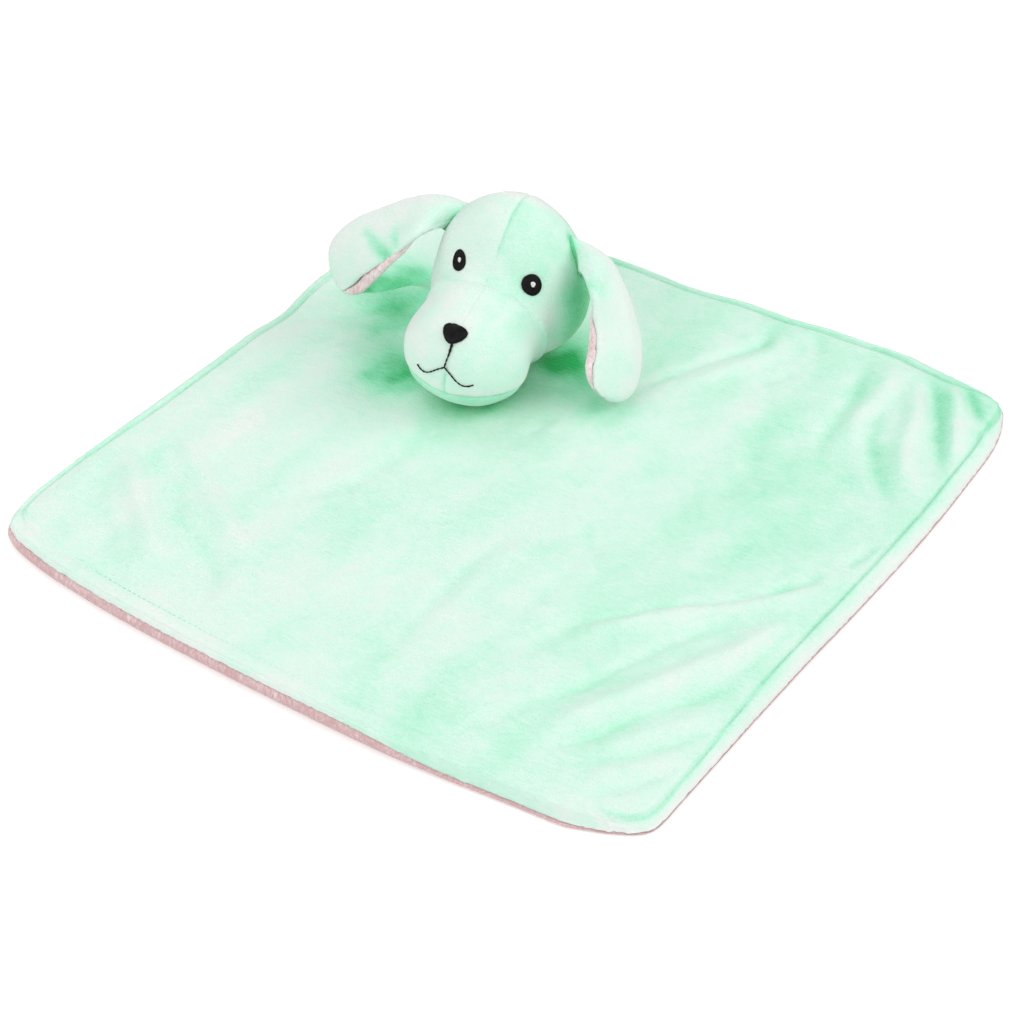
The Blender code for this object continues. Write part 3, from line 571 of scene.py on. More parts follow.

# Painted shade under the head: how deep the pile looks there, how fast that fades with the gap in metres,
# and patches of painted shadow, most beside the head and ears: places and sizes in millimetres, and how deep
# they look
UNDER_HEAD_SHADE = 1.4
UNDER_HEAD_GAP = 0.0036
SHADOW_PATCHES = (
    ((-132, 76), 16, 0.7), ((-95, 29), 17, 1.2), ((-118, 58), 24, 0.45), ((-143, 104), 20, 0.9),
    ((-159, 86), 12, 1.1), ((-30, 84), 11, 1.2), ((-32, 98), 22, 0.3), ((-14, 72), 15, 0.5),
    ((10, 62), 15, 0.45), ((50, -138), 40, 0.14),
)
SHADE_UNEVEN = (0.012, 0.5, 4)

# How deep the rest of the pile looks: by its stroking over the whole cloth and to the right, and by painted
# shade and highlights in the folds and at the seam.
# A fold's painted shade and highlight show by a share in the middle of the blanket, and by more for each
# metre to the right
BASE_TONE = 0.46
RIGHT_TONE = 0.62
TO_RIGHT = (0.814, 0.581)
STROKE_STRETCH = 2.5
FINE_STROKES = (0.020, 0.20, 5)
WIDE_STROKES = (0.075, 0.14, 9)
# Painted shade in valleys and on slopes facing away from the light, painted highlight on crests
VALLEY_SHADE = 0.18
VALLEY_DEPTH = 0.0020
DEEPEST_SHARE = 1.3
VALLEY_SHOWS = (0.6, 1.6)
AWAY_SLOPE_SHADE = 0.34
SLOPE_STEP = (0.0016, 0.0012)
SLOPE_LIMITS = (-0.25, 0.5)
SLOPE_SHOWS = (1.0, 3.0)
CREST_HIGHLIGHT = 0.30
CREST_HEIGHT = 0.0035
CREST_SHOWS = (0.5, 2)
# Painted shade in the topstitch groove, and a painted highlight where the rim rolls under on the right
GROOVE_SHADE = 0.36
GROOVE_WIDTH = 0.0011
GROOVE_SPREAD = 1.2
ROLLED_HIGHLIGHT = 0.42
RIM_TONE = 0.02
RIM_END = 1.25
ROLLED_END = 1.05
FRONT_RIM_TONE = 0.08


def outside(points, middle, radii):
    """How far points lie outside a ball with three radii, or inside it where the number is negative."""
    away = points - np.array(middle)
    share = np.sqrt(((away / np.array(radii)) ** 2).sum(axis=-1))
    return (share - 1) * np.sqrt((away ** 2).sum(axis=-1)) / np.maximum(share, 1e-6)


def on_head(points):
    """Points in the head's own directions: to the viewer's right, backward and up."""
    return (points - np.array(HEAD_MIDDLE)) @ np.array(ON_HEAD.to_3x3())


def painted_head_shade(x, y, z):
    """Painted shade under the head and the muzzle, and painted shadows near them."""
    local = on_head(np.stack([x, y, z], 1))
    gap = np.minimum(outside(local, HEAD_CENTRE, HEAD_RADII), outside(local, MUZZLE_MIDDLE, MUZZLE_RADII))
    head_shade = UNDER_HEAD_SHADE * np.exp(-np.maximum(gap, 0) / UNDER_HEAD_GAP)
    for (middle_x, middle_y), size, share in SHADOW_PATCHES:
        away = np.hypot(x - middle_x * MM, y - middle_y * MM)
        head_shade += share * np.exp(-away ** 2 / (size * MM) ** 2)
    return head_shade * (1 + wander(x, y, *SHADE_UNEVEN))


def fold_shade_and_highlight(x, y, to_right):
    """Painted shade in the folds' valleys and on slopes that face away from the light, and painted highlights
    on their crests.
    """
    lift = fold_lift(x, y)
    shift_x, shift_y = SLOPE_STEP
    ahead = fold_lift(x + shift_x, y + shift_y)
    rise = (ahead - fold_lift(x - shift_x, y - shift_y)) / (2 * np.hypot(*SLOPE_STEP))
    valley_shade = np.clip(-lift / VALLEY_DEPTH, 0, DEEPEST_SHARE) * (VALLEY_SHOWS[0] + VALLEY_SHOWS[1] * x)
    away_shade = np.clip(rise, *SLOPE_LIMITS) * (SLOPE_SHOWS[0] + SLOPE_SHOWS[1] * to_right)
    # painted highlight on the crests
    raised = np.clip(lift / CREST_HEIGHT, 0, 1) * (CREST_SHOWS[0] + CREST_SHOWS[1] * np.maximum(to_right, 0))
    return VALLEY_SHADE * valley_shade + AWAY_SLOPE_SHADE * away_shade - CREST_HIGHLIGHT * raised


def seam_tone_and_light(x, y):
    """Tone at the rim: painted shade in the groove of the topstitch, a painted highlight where it rolls under
    on the right, and the strip's own tone along the other sides.
    """
    from_edge = (1 - np.hypot(x, y) / edge_radius(x, y)) * HALF_SIDE
    inset = stitch_inset(x, y)
    # painted shade along the topstitch groove
    beside = smooth(GROOVE_SPREAD - abs(from_edge - inset) / GROOVE_WIDTH) * stitch_depth(x, y) / STITCH_DEPTH
    rim = smooth((RIM_END - from_edge / inset) * 2)
    elsewhere = (1 - tucked(x, y)) * (1 - at_front(x, y))
    rim_tone = (RIM_TONE - np.minimum(x, 0)) * elsewhere - FRONT_RIM_TONE * at_front(x, y)
    # painted highlight on the rolled rim
    rolled_highlight = ROLLED_HIGHLIGHT * tucked(x, y) * smooth(ROLLED_END - 1.4 * from_edge / inset)
    return GROOVE_SHADE * beside + (rim_tone * rim - rolled_highlight) * (1 - unstitched(x, y))


def mint_tone(points):
    """How deep the blanket's front looks: its stroking, with painted shade and highlights."""
    x, y, z = points.T
    to_right = TO_RIGHT[0] * x + TO_RIGHT[1] * y
    stroked = wander(x, y / STROKE_STRETCH, *FINE_STROKES) + wander(x, y, *WIDE_STROKES)
    nap_and_light = BASE_TONE + RIGHT_TONE * to_right + fold_shade_and_highlight(x, y, to_right) + stroked + seam_tone_and_light(x, y)
    return nap_and_light + painted_head_shade(x, y, z)


mint_front = make_piece("mint_velboa_front", blanket_layer(TOP_CELLS, mint_heights), MINT_VELBOA,
                        "blanket", "mint_plush", "blanket_top_panel")
store_nap_and_light(mint_front, mint_tone(points_of(mint_front)))

# Topstitch: one row of mint polyester thread, 3.2 mm to a stitch, run round the blanket.
# It holds the rim flat, and sinks into the pile so that little of it shows, least at the near corner.
STITCH_LENGTH = 0.0032
STITCH_SHARE = 0.74
STITCH_AIM = 0.0008
THREAD_RADIUS = 0.00028
THREAD_PROUD = 0.4
THREAD_SUNK = 2
TWIST_SIZE = 0.6 * MM
TWIST_DEPTH = 0.1 * MM


def along_topstitch():
    """The middle and the direction of each stitch round the blanket."""
    inner = EDGE * (1 - stitch_inset(EDGE[:, 0], EDGE[:, 1]) / HALF_SIDE)[:, None]
    steps = np.hypot(*(np.roll(inner, -1, 0) - inner).T)
    travelled = np.concatenate([[0], np.cumsum(steps)])
    closed = np.vstack([inner, inner[:1]])
    count = int(travelled[-1] / STITCH_LENGTH)
    for place in (np.arange(count) + 0.5) * travelled[-1] / count:
        start, end = [np.array([np.interp(place + shift, travelled, closed[:, axis]) for axis in (0, 1)])
                      for shift in (-STITCH_AIM, STITCH_AIM)]
        yield (start + end) / 2, atan2(*(end - start)[::-1])


def sewing_thread(name, dark, light, roughness, gloss):
    """Twisted polyester or rayon thread: smooth, with a soft sheen along the strand."""
    material, shader = new_material(name, {"Roughness": roughness, "Specular IOR Level": gloss})
    where = add_node(material, "TexCoord").outputs["Object"]
    twist = add_node(material, "TexNoise", {"Scale": 1 / TWIST_SIZE, "Detail": 2},
                     {"Vector": where}).outputs["Fac"]
    steps = ((0.35, dark), (0.7, light))
    colour = add_node(material, "ValToRGB", {}, {"Fac": twist}, steps).outputs["Color"]
    bump = add_node(material, "Bump", {"Strength": 0.5, "Distance": TWIST_DEPTH}, {"Height": twist})
    link_inputs(material, shader, {"Base Color": colour, "Normal": bump.outputs["Normal"]})
    return material


MINT_THREAD = sewing_thread("mint_polyester_thread", "#97E2BC", "#B6F1D2", 0.6, 0.3)


def topstitch():
    """All the stitches of the row, each a short rounded length of thread."""
    bm = bmesh.new()
    shape = Matrix.Diagonal((STITCH_LENGTH * STITCH_SHARE / 2, THREAD_RADIUS, THREAD_RADIUS, 1))
    for middle, direction in along_topstitch():
        x, y = [np.array([part]) for part in middle]
        top = mint_heights(x, y, stitch_inset(x, y), True)[0][2]
        hidden = max(unstitched(x, y)[0], 0.5 * droop(x, y)[0] / CORNER_DROOP)
        height = top + THREAD_RADIUS * (THREAD_PROUD - THREAD_SUNK * hidden)
        place = Matrix.Translation((middle[0], middle[1], height)) @ Matrix.Rotation(direction, 4, "Z")
        bmesh.ops.create_icosphere(bm, subdivisions=1, radius=1, matrix=place @ shape)
    return bm


make_piece("topstitch_thread", topstitch(), MINT_THREAD, "blanket", "mint_plush")

# Neck collar: a rolled ring of the same velboa that joins the head to the blanket.
# The head turns on it and nods over its rear. It is hidden unless the head is lifted.
COLLAR_RADIUS = 0.0127
COLLAR_ROLL = 0.0010
COLLAR_TONE = 0.8
PUCKERS = 18
PUCKER_SHARE = 0.012


def rolled_ring():
    """A ring with a round section, puckered by its stitches."""
    bm = bmesh.new()
    stand = Matrix.Translation((COLLAR_RADIUS, 0, 0)) @ Matrix.Rotation(pi / 2, 4, "X")
    bmesh.ops.create_circle(bm, cap_ends=False, segments=16, radius=COLLAR_ROLL, matrix=stand)
    bmesh.ops.spin(bm, geom=bm.verts[:] + bm.edges[:], cent=(0, 0, 0), axis=(0, 0, 1), angle=2 * pi,
                   steps=72, use_merge=True)
    for vert in bm.verts:
        pucker = 1 + PUCKER_SHARE * sin(PUCKERS * atan2(vert.co.y, vert.co.x))
        vert.co.x, vert.co.y = vert.co.x * pucker, vert.co.y * pucker
    bmesh.ops.recalc_face_normals(bm, faces=bm.faces)
    bmesh.ops.translate(bm, verts=bm.verts, vec=NECK_MIDDLE)
    return bm


collar = make_piece("neck_roll", rolled_ring(), MINT_VELBOA, "neck", "mint_plush", "neck_collar")
store_nap_and_light(collar, np.full(len(collar.data.vertices), COLLAR_TONE))

# Head: two panels of velboa sewn together down the middle, over a tight ball of fibre.
# The pile of the left panel looks frosted and that of the right one deep mint,
# because each was cut with its pile the other way round.
PANEL_THICKNESS = 0.0026
SEAM_DEPTH = 0.0013
SEAM_WIDTH = 0.0012
CREASE_DEPTH = 0.0001
CREASE_WIDTH = 0.0010
FILLET = 0.020
SEAM_CROWDING = 1.4
PANEL_OVERLAP = 0.003
SEAT_ROUNDING = 0.002
HEAD_LUMPS = (0.016, 0.0006)
EAR_SEAM_TOP = Vector((0.0270, 0.0040, 0.0290))
EAR_SEAM_LOW = Vector((0.0378, -0.0010, 0.0135))

# Each side's width as a share of the ball's: at its middle, and what comes to that toward its top
LEFT_WIDTH = (0.97, 0.11)
RIGHT_WIDTH = (1, -0.05)
TOP_OF_HEAD = 0.034

# How deep the seam down the middle is, as shares of its depth: at the back and front, and less on
# the face, which ends where the brow begins. There the two panels' pile also blurs the seam
SEAM_AT_BACK = 0.9
SEAM_AT_FRONT = 0.55
SEAM_LESS_ON_FACE = 0.5
FACE_TOP = 0.031
FACE_FADE = 0.009
SEAM_BLUR = 0.0008
BLUR_ON_FACE = 0.013
BLUR_FADE = 0.012

# Parts of a skin whose pile looks otherwise, some of them painted light: how much deeper it looks there, and
# the bounds of the part, each a direction, and where in metres the part begins and is full
RIGHTWARD, BACKWARD, UPWARD = (1, 0, 0), (0, 1, 0), (0, 0, 1)
CROWNWARD = (0, 0.61, 0.79)
HEAD_PARTS = (
    (-0.22, (UPWARD, 0.010, 0), (BACKWARD, -0.004, -0.018), (RIGHTWARD, 0.004, 0.014)),
    # painted highlight along the crown
    (-0.75, (CROWNWARD, 0.031, 0.041)),
    # painted shade on the right side, between the cheek and the ear
    (0.95, (RIGHTWARD, 0.0300, 0.0410), (UPWARD, 0.026, 0.014), (UPWARD, -0.036, -0.022)),
)
HEAD_TONE = 0.30
RIGHT_PANEL_TONE = 0.24
HEAD_STROKES = (0.012, 0.16, 2)
# Painted shade along the seams where the ears are sewn on
EAR_SEAM_SHADE = 0.8
EAR_SEAM_WIDTH = 0.0026
SEAM_TONE = 0.25
SEAM_LINE = 0.0009
ABOVE_EYES = (UPWARD, 0.022, 0.030)
# Painted shade in the crease where the muzzle is sewn on
CREASE_SHADE = 0.14
CREASE_REACH = 0.007
# Painted shade on the head's underside
UNDERSIDE_SHADE = 0.9
SHADED_UNDERSIDE = (UPWARD, 0.020, 0.010)


def half_ball(side, rings, steps):
    """Half a unit ball whose open edge lies on the seam down the middle, with its rings closer there."""
    bm = bmesh.new()
    profile = []
    for index in range(rings + 1):
        angle = pi / 2 * (index / rings) ** SEAM_CROWDING
        profile.append(bm.verts.new((side * sin(angle), 0, cos(angle))))
    for start, end in zip(profile, profile[1:]):
        bm.edges.new((start, end))
    bmesh.ops.spin(bm, geom=bm.verts[:] + bm.edges[:], cent=(0, 0, 0), axis=(1, 0, 0), angle=2 * pi,
                   steps=steps, use_merge=True)
    bmesh.ops.remove_doubles(bm, verts=bm.verts, dist=1e-5)
    return bm


def lumps(point, size, height):
    """The gentle unevenness of stuffing under a skin."""
    return height * noise.noise(point / size)


def over_radii(vector, radii):
    """A vector with each part divided by a radius."""
    return Vector([part / radius for part, radius in zip(vector, radii)])


def seam_groove(x, depth):
    """How far the seam down the middle draws the skin in."""
    return depth * exp(-(x / SEAM_WIDTH) ** 2)


def blend_balls(place, normal, middle, radii, depth):
    """Fills the valley where two balls meet, and draws in the seam at its bottom."""
    gap = float(outside(np.array(place), middle, radii))
    near = max(0, 1 - max(gap, 0) / FILLET)
    away = place - middle
    other = Vector([part / radius ** 2 for part, radius in zip(away, radii)]).normalized()
    outward = (normal + other * near).normalized()
    fill = FILLET / 4 * near ** 2 / max(normal.dot(outward), 0.5)
    return outward * (fill - depth * exp(-(gap / CREASE_WIDTH) ** 2))


def shape_head(bm):
    """Gives half a ball the head's form, with its seam, and the crease where the muzzle is sewn on."""
    for vert in bm.verts:
        unit = vert.co.copy()
        grow = 1 - HEAD_TAPER * unit.z
        place = Vector((unit.x * grow * HEAD_RADII.x, unit.y * grow * HEAD_RADII.y, unit.z * HEAD_RADII.z))
        at_middle, toward_top = LEFT_WIDTH if unit.x < 0 else RIGHT_WIDTH
        place.x *= at_middle + toward_top * float(smooth(place.z / TOP_OF_HEAD))
        normal = over_radii(unit, HEAD_RADII).normalized()
        face = float(smooth(-unit.y * 1.6) * smooth((FACE_TOP - place.z) / FACE_FADE))
        share = SEAM_AT_FRONT - SEAM_LESS_ON_FACE * face if unit.y < 0.1 else SEAM_AT_BACK
        groove = seam_groove(place.x, SEAM_DEPTH * share)
        vert.co = place - normal * (groove - lumps(place, *HEAD_LUMPS)) + blend_balls(
            place, normal, MUZZLE_MIDDLE, MUZZLE_RADII, CREASE_DEPTH)


def open_inside(bm, middle, radii):
    """Takes out the skin that lies inside another ball, apart from what laps over its seam."""
    inside = [vert for vert in bm.verts if outside(np.array(vert.co), middle, radii) < -PANEL_OVERLAP]
    bmesh.ops.delete(bm, geom=inside, context="VERTS")


def face_out(bm, middle):
    """Turns an open panel's faces away from the middle of what it covers."""
    bmesh.ops.recalc_face_normals(bm, faces=bm.faces)
    total = sum(face.normal.dot(face.calc_center_median() - middle) * face.calc_area() for face in bm.faces)
    if total < 0:
        bmesh.ops.reverse_faces(bm, faces=bm.faces)


def sit_down(bm, level):
    """Flattens what would lie lower than the level it rests on."""
    for vert in bm.verts:
        if vert.co.z < level + SEAT_ROUNDING:
            vert.co.z = level + SEAT_ROUNDING * exp((vert.co.z - level - SEAT_ROUNDING) / SEAT_ROUNDING)


def add_skin_thickness(piece):
    """Gives a panel the thickness of its cloth, inwards."""
    wall = piece.modifiers.new("cloth_thickness", "SOLIDIFY")
    wall.thickness = PANEL_THICKNESS
    wall.offset = -1


def within(points, *bounds):
    """Runs to 1 where points are past all the bounds of a part."""
    share = 1
    for direction, start, full in bounds:
        share = share * smooth((points @ np.array(direction) - start) / (full - start))
    return share


def head_tone(points):
    """How the pile of the head lies: frosted on one side of the seam and deeper on the other, with painted
    shade at the ear seams, at the crease to the muzzle and underneath, and a painted highlight on the crown.
    """
    local = on_head(points)
    x, y, z = local.T
    blur = SEAM_BLUR + BLUR_ON_FACE * smooth((FACE_TOP - z) / BLUR_FADE)
    tone = HEAD_TONE + RIGHT_PANEL_TONE * smooth((x + blur) / (2 * blur)) + wander(x + y, z, *HEAD_STROKES)
    for deeper, *bounds in HEAD_PARTS:
        tone += deeper * within(local, *bounds)
    for side in (-1, 1):
        seam = [Vector((side * place.x, place.y, place.z)) for place in (EAR_SEAM_TOP, EAR_SEAM_LOW)]
        tone += EAR_SEAM_SHADE * np.exp(-(from_line(local, *seam)[0] / EAR_SEAM_WIDTH) ** 2)
    tone += SEAM_TONE * np.exp(-(x / SEAM_LINE) ** 2) * within(local, ABOVE_EYES)
    tone += CREASE_SHADE * np.exp(-(outside(local, MUZZLE_MIDDLE, MUZZLE_RADII) / CREASE_REACH) ** 2)
    return tone + UNDERSIDE_SHADE * within(points, SHADED_UNDERSIDE)


def head_half(side_name, side):
    """One of the two panels of the head."""
    bm = half_ball(side, 52, 168)
    shape_head(bm)
    open_inside(bm, MUZZLE_MIDDLE, MUZZLE_RADII)
    face_out(bm, HEAD_CENTRE)
    bm.transform(ON_HEAD)
    sit_down(bm, HEAD_BASE)
    piece = make_piece("head_velboa_" + side_name, bm, MINT_VELBOA, "head", "mint_plush",
                       "head_panel_" + side_name)
    store_nap_and_light(piece, head_tone(points_of(piece)))
    add_skin_thickness(piece)


SIDES = {"left": -1, "right": 1}
for side_name, side in SIDES.items():
    head_half(side_name, side)

# Muzzle: two side panels of velboa that meet under the nose, and a chin panel below them.
# It is a squashed ball, stuffed with the head and sewn to its front.
CHIN_SEAM = MUZZLE_MIDDLE.z - 0.0085
CHIN_SEAM_SHARE = 0.9
MOUTH_LEVEL = MUZZLE_MIDDLE.z + 0.0067
MOUTH_FADE = 0.004
MUZZLE_LUMPS = (0.014, 0.0006)
GROOVE_AT_NOSE = 0.10
GROOVE_BELOW_MOUTH = 0.55

# Each side's width as a share of the ball's, and what comes to that: on the left toward the top,
# and on the right toward the head
MUZZLE_LEFT_WIDTH = (1.015, -0.075)
MUZZLE_RIGHT_WIDTH = (1, -0.12)

# How the muzzle's pile lies: tones, and the bounds of the parts where it lies otherwise
MUZZLE_TONE = 0.24
MUZZLE_RIGHT_TONE = 0.20
MUZZLE_BLUR = 0.006
MUZZLE_STROKES = (0.010, 0.18, 6)
MUZZLE_TOP = (UPWARD, -0.002, 0.008)
MUZZLE_CHEEK_TONE = -0.24
MUZZLE_CHEEK = ((RIGHTWARD, -0.002, 0.010), (UPWARD, -0.014, -0.022))
BELOW_MOUTH = (UPWARD, MOUTH_LEVEL, MOUTH_LEVEL - MOUTH_FADE)
MIDDLE_SEAM_TONE = 0.35
CHIN_SEAM_TONE = 0.45
MUZZLE_SEAM_LINE = 0.0010
# Painted shade in the crease where the muzzle meets the head
MUZZLE_CREASE_SHADE = 0.12
MUZZLE_CREASE_REACH = 0.005
CHIN_TONE = 0.85
CHIN_SHADED_UNDERSIDE = (UPWARD, 0.020, 0.011)


def shape_muzzle(bm):
    """Gives a ball the muzzle's form, with its middle seam, its chin seam and its crease to the face."""
    for vert in bm.verts:
        unit = vert.co.copy()
        width, more = MUZZLE_LEFT_WIDTH if unit.x < 0 else MUZZLE_RIGHT_WIDTH
        toward = unit.z * 1.5 if unit.x < 0 else (unit.y + 0.3) / 0.7
        unit.x *= width + more * float(smooth(toward))
        place = MUZZLE_MIDDLE + Vector([part * radius for part, radius in zip(unit, MUZZLE_RADII)])
        normal = over_radii(unit, MUZZLE_RADII).normalized()
        below_mouth = float(smooth((MOUTH_LEVEL - place.z) / MOUTH_FADE + 0.5))
        depth = SEAM_DEPTH * (GROOVE_AT_NOSE + GROOVE_BELOW_MOUTH * below_mouth)
        groove = seam_groove(place.x, depth) if place.z > CHIN_SEAM else 0
        chin = CHIN_SEAM_SHARE * SEAM_DEPTH * exp(-((place.z - CHIN_SEAM) / SEAM_WIDTH) ** 2)
        grown = HEAD_RADII * (1 - HEAD_TAPER * place.z / HEAD_RADII.z)
        grown.z = HEAD_RADII.z
        vert.co = place - normal * (groove + chin - lumps(place, *MUZZLE_LUMPS)) + blend_balls(
            place, normal, HEAD_CENTRE, grown, CREASE_DEPTH)


def cut_level(bm, level, keep_above):
    """Cuts a skin along the chin seam and keeps one side of it."""
    geom = bm.verts[:] + bm.edges[:] + bm.faces[:]
    bmesh.ops.bisect_plane(bm, geom=geom, plane_co=(0, 0, level), plane_no=(0, 0, 1),
                           clear_inner=keep_above, clear_outer=not keep_above)


def muzzle_piece(name, bm, node, keep_above):
    """A panel of the muzzle on its finished form."""
    shape_muzzle(bm)
    cut_level(bm, CHIN_SEAM, keep_above)
    open_inside(bm, HEAD_CENTRE, HEAD_RADII)
    face_out(bm, MUZZLE_MIDDLE)
    bm.transform(ON_HEAD)
    piece = make_piece(name, bm, MINT_VELBOA, "head", "mint_plush", node)
    add_skin_thickness(piece)
    return piece


def muzzle_tone(points):
    """How the pile of the muzzle lies: frosted on its left and on its cheek, parted at its seams, and darker
    by painted shade in the crease to the head.
    """
    local = on_head(points)
    x, y, z = local.T
    to_right = smooth((x + MUZZLE_BLUR * (1 - within(local, MUZZLE_TOP))) / (2 * MUZZLE_BLUR))
    tone = MUZZLE_TONE + MUZZLE_RIGHT_TONE * to_right + MUZZLE_CHEEK_TONE * within(local, *MUZZLE_CHEEK)
    tone += wander(x, z, *MUZZLE_STROKES)
    tone += MIDDLE_SEAM_TONE * np.exp(-(x / MUZZLE_SEAM_LINE) ** 2) * within(local, BELOW_MOUTH)
    tone += CHIN_SEAM_TONE * np.exp(-((z - CHIN_SEAM) / MUZZLE_SEAM_LINE) ** 2)
    crease = outside(local, HEAD_CENTRE, HEAD_RADII)
    return tone + MUZZLE_CREASE_SHADE * np.exp(-(crease / MUZZLE_CREASE_REACH) ** 2)


for side_name, side in SIDES.items():
    piece = muzzle_piece("muzzle_velboa_" + side_name, half_ball(side, 46, 176),
                         "muzzle_panel_" + side_name, True)
    store_nap_and_light(piece, muzzle_tone(points_of(piece)))

chin_ball = bmesh.new()
bmesh.ops.create_uvsphere(chin_ball, u_segments=176, v_segments=96, radius=1,
                          matrix=Matrix.Rotation(pi / 2, 4, "Y"))
chin = muzzle_piece("chin_velboa", chin_ball, "chin_panel", False)
# The chin's lowest part is darker still: painted shade underneath.
store_nap_and_light(chin, CHIN_TONE + UNDERSIDE_SHADE * within(points_of(chin), CHIN_SHADED_UNDERSIDE))

# Stuffing: one wad of white polyester fibre that fills the head and the muzzle.
# It is blown in through the neck before the head is closed.
FILL_GAP = PANEL_THICKNESS + 0.0006
FILL_GAP_SHARE = 1.25
WAD_VOXEL = 0.0025
TUFT_SIZE = 5 * MM
TUFT_DEPTH = 1 * MM
FIBRE_STEPS = ((0, "#DCDCD8"), (1, "#F7F7F4"))


def stuffing_wad():
    """Two balls that overlap, for the head and for the muzzle."""
    bm = bmesh.new()
    for middle, radii in ((HEAD_CENTRE, HEAD_RADII), (MUZZLE_MIDDLE, MUZZLE_RADII)):
        made = bmesh.ops.create_uvsphere(bm, u_segments=64, v_segments=40, radius=1)["verts"]
        reach = [radius - FILL_GAP * FILL_GAP_SHARE for radius in radii]
        for vert in made:
            grow = 1 - HEAD_TAPER * vert.co.z if middle.length == 0 else 1
            wide = (vert.co.x * grow, vert.co.y * grow, vert.co.z)
            vert.co = middle + Vector([part * size for part, size in zip(wide, reach)])
    bm.transform(ON_HEAD)
    for vert in bm.verts:
        vert.co.z = max(vert.co.z, HEAD_BASE + FILL_GAP)
    return bm


def fibre_fill():
    """Hollow white polyester fibre: fluffy and matte."""
    material, shader = new_material("white_polyester_fibre", {"Roughness": 1, "Sheen Weight": 0.4})
    where = add_node(material, "TexCoord").outputs["Object"]
    tufts = add_node(material, "TexNoise", {"Scale": 1 / TUFT_SIZE, "Detail": 5},
                     {"Vector": where}).outputs["Fac"]
    colour = add_node(material, "ValToRGB", {}, {"Fac": tufts}, FIBRE_STEPS).outputs["Color"]
    bump = add_node(material, "Bump", {"Strength": 0.8, "Distance": TUFT_DEPTH}, {"Height": tufts})
    link_inputs(material, shader, {"Base Color": colour, "Normal": bump.outputs["Normal"]})
    return material


wad = make_piece("fibre_stuffing", stuffing_wad(), fibre_fill(), "head", "white_stuffing", "head_stuffing")
joined = wad.modifiers.new("one_wad", "REMESH")
joined.mode = "VOXEL"
joined.voxel_size = WAD_VOXEL

# Ears: each is a mint velboa outside and a pink fleece lining, sewn round their edge, turned and
# sewn into the seam at the side of the head. The right ear hangs down beside the cheek, and the
# left one stands out over the corner of the blanket.
EAR_LENGTH = 0.086
EAR_HALF_WIDTH = 0.018
EAR_OUTER_THICKNESS = 0.0040
EAR_OUTER_LEAST = 0.0007
EAR_LINING_THICKNESS = 0.0032
EAR_CAMBER = 0.0030
EAR_CURL = 0.0016
EAR_LUMPS = (0.012, 0.0005)
LINING_LUMP_SHARE = -0.6
EAR_ROOT = Vector((0.02994, -0.004, 0.025))
EAR_ROOT_SHARE = 0.26
EAR_ROOT_SHARE_FRONT = 0.14
EAR_ROOT_THIN = 0.35
EAR_ROOT_CURVE = 1.3
EAR_FACE = Vector((0.35, -0.88, 0.30)).normalized()
EAR_TUCK = 0.86
EAR_TIP_START = 0.80
EAR_TIP_SHARE = 0.10
EAR_EDGE_SHARE = 0.42
EAR_AHEAD = 0.01
EAR_ROWS = 84
EAR_COLUMNS = 34
EDGE_CROWDING = 1.35
TIP_CROWDING = 1.5
EAR_TONE = 0.28
# Painted shade near the root, where the ear meets the head, and in the dents
EAR_ROOT_SHADE = 1.5
EAR_ROOT_FADE = 0.06
EAR_BACK_TONE = 0.25
DENT_SHADE = 270
EAR_STROKES = (0.012, 0.22, 8)

# Stations of the flap's middle line: outward, backward and upward from the root as shares of the ear's
# length, half the width as a share of the widest, and the twist as a share of a right angle
EAR_STATIONS = {
    "right": (
        (0.000, 0.000, 0.000, 0.74, 0.11), (0.157, -0.080, 0.043, 0.72, 0.14),
        (0.274, -0.105, -0.080, 0.74, 0.22), (0.364, -0.158, -0.226, 0.82, 0.30),
        (0.437, -0.255, -0.358, 0.90, 0.36), (0.467, -0.362, -0.466, 0.92, 0.37),
        (0.473, -0.467, -0.556, 0.92, 0.37),
    ),
    "left": (
        (0.000, 0.000, 0.000, 0.76, 0.11), (0.135, -0.010, -0.005, 0.96, 0.22),
        (0.272, -0.060, -0.085, 0.99, 0.44), (0.412, -0.115, -0.218, 0.98, 0.62),
        (0.542, -0.130, -0.366, 0.98, 0.72), (0.628, -0.130, -0.502, 0.93, 0.75),
        (0.686, -0.130, -0.630, 0.87, 0.75),
    ),
}

# How far the lining rolls out past the outer layer's front edge: shares of the ear's length, and metres
LINING_ROLL = {
    "right": ((0.34, 0.46, 0.58, 0.74, 0.90, 1.0), (-0.0045, 0.0, 0.0022, 0.0034, 0.0028, 0.0010)),
    "left": ((0.28, 0.38, 0.52, 0.74, 0.90, 1.0), (-0.0050, 0.0, 0.0034, 0.0062, 0.0056, 0.0030)),
}
LINING_PLUMP = 0.0021
PLUMP_FULL = 0.0024

# Dents in the outer layer, each a line between two places: shares of the ear's length and of its half width
# at both ends, then the dent's half width and its depth in metres
EAR_DENTS = {
    "right": ((0.26, -0.90, 0.34, -0.30, 0.0040, 0.0012), (0.50, 0.35, 0.74, 0.35, 0.0050, -0.0012)),
    "left": ((0.49, -0.95, 0.57, 0.30, 0.0032, 0.0034), (0.42, -0.85, 0.42, -0.20, 0.0022, 0.0016),
             (0.66, -0.60, 0.84, -0.45, 0.0060, -0.0012)),
}
DENT_FADE = 0.4


def on_open_curve(points, share):
    """A point at a share of the way along a smooth curve through all the points."""
    spans = len(points) - 1
    index = min(int(share * spans), spans - 1)
    four = [np.array(points[min(max(index + shift, 0), spans)]) for shift in (-1, 0, 1, 2)]
    return spline(*four, share * spans - index)


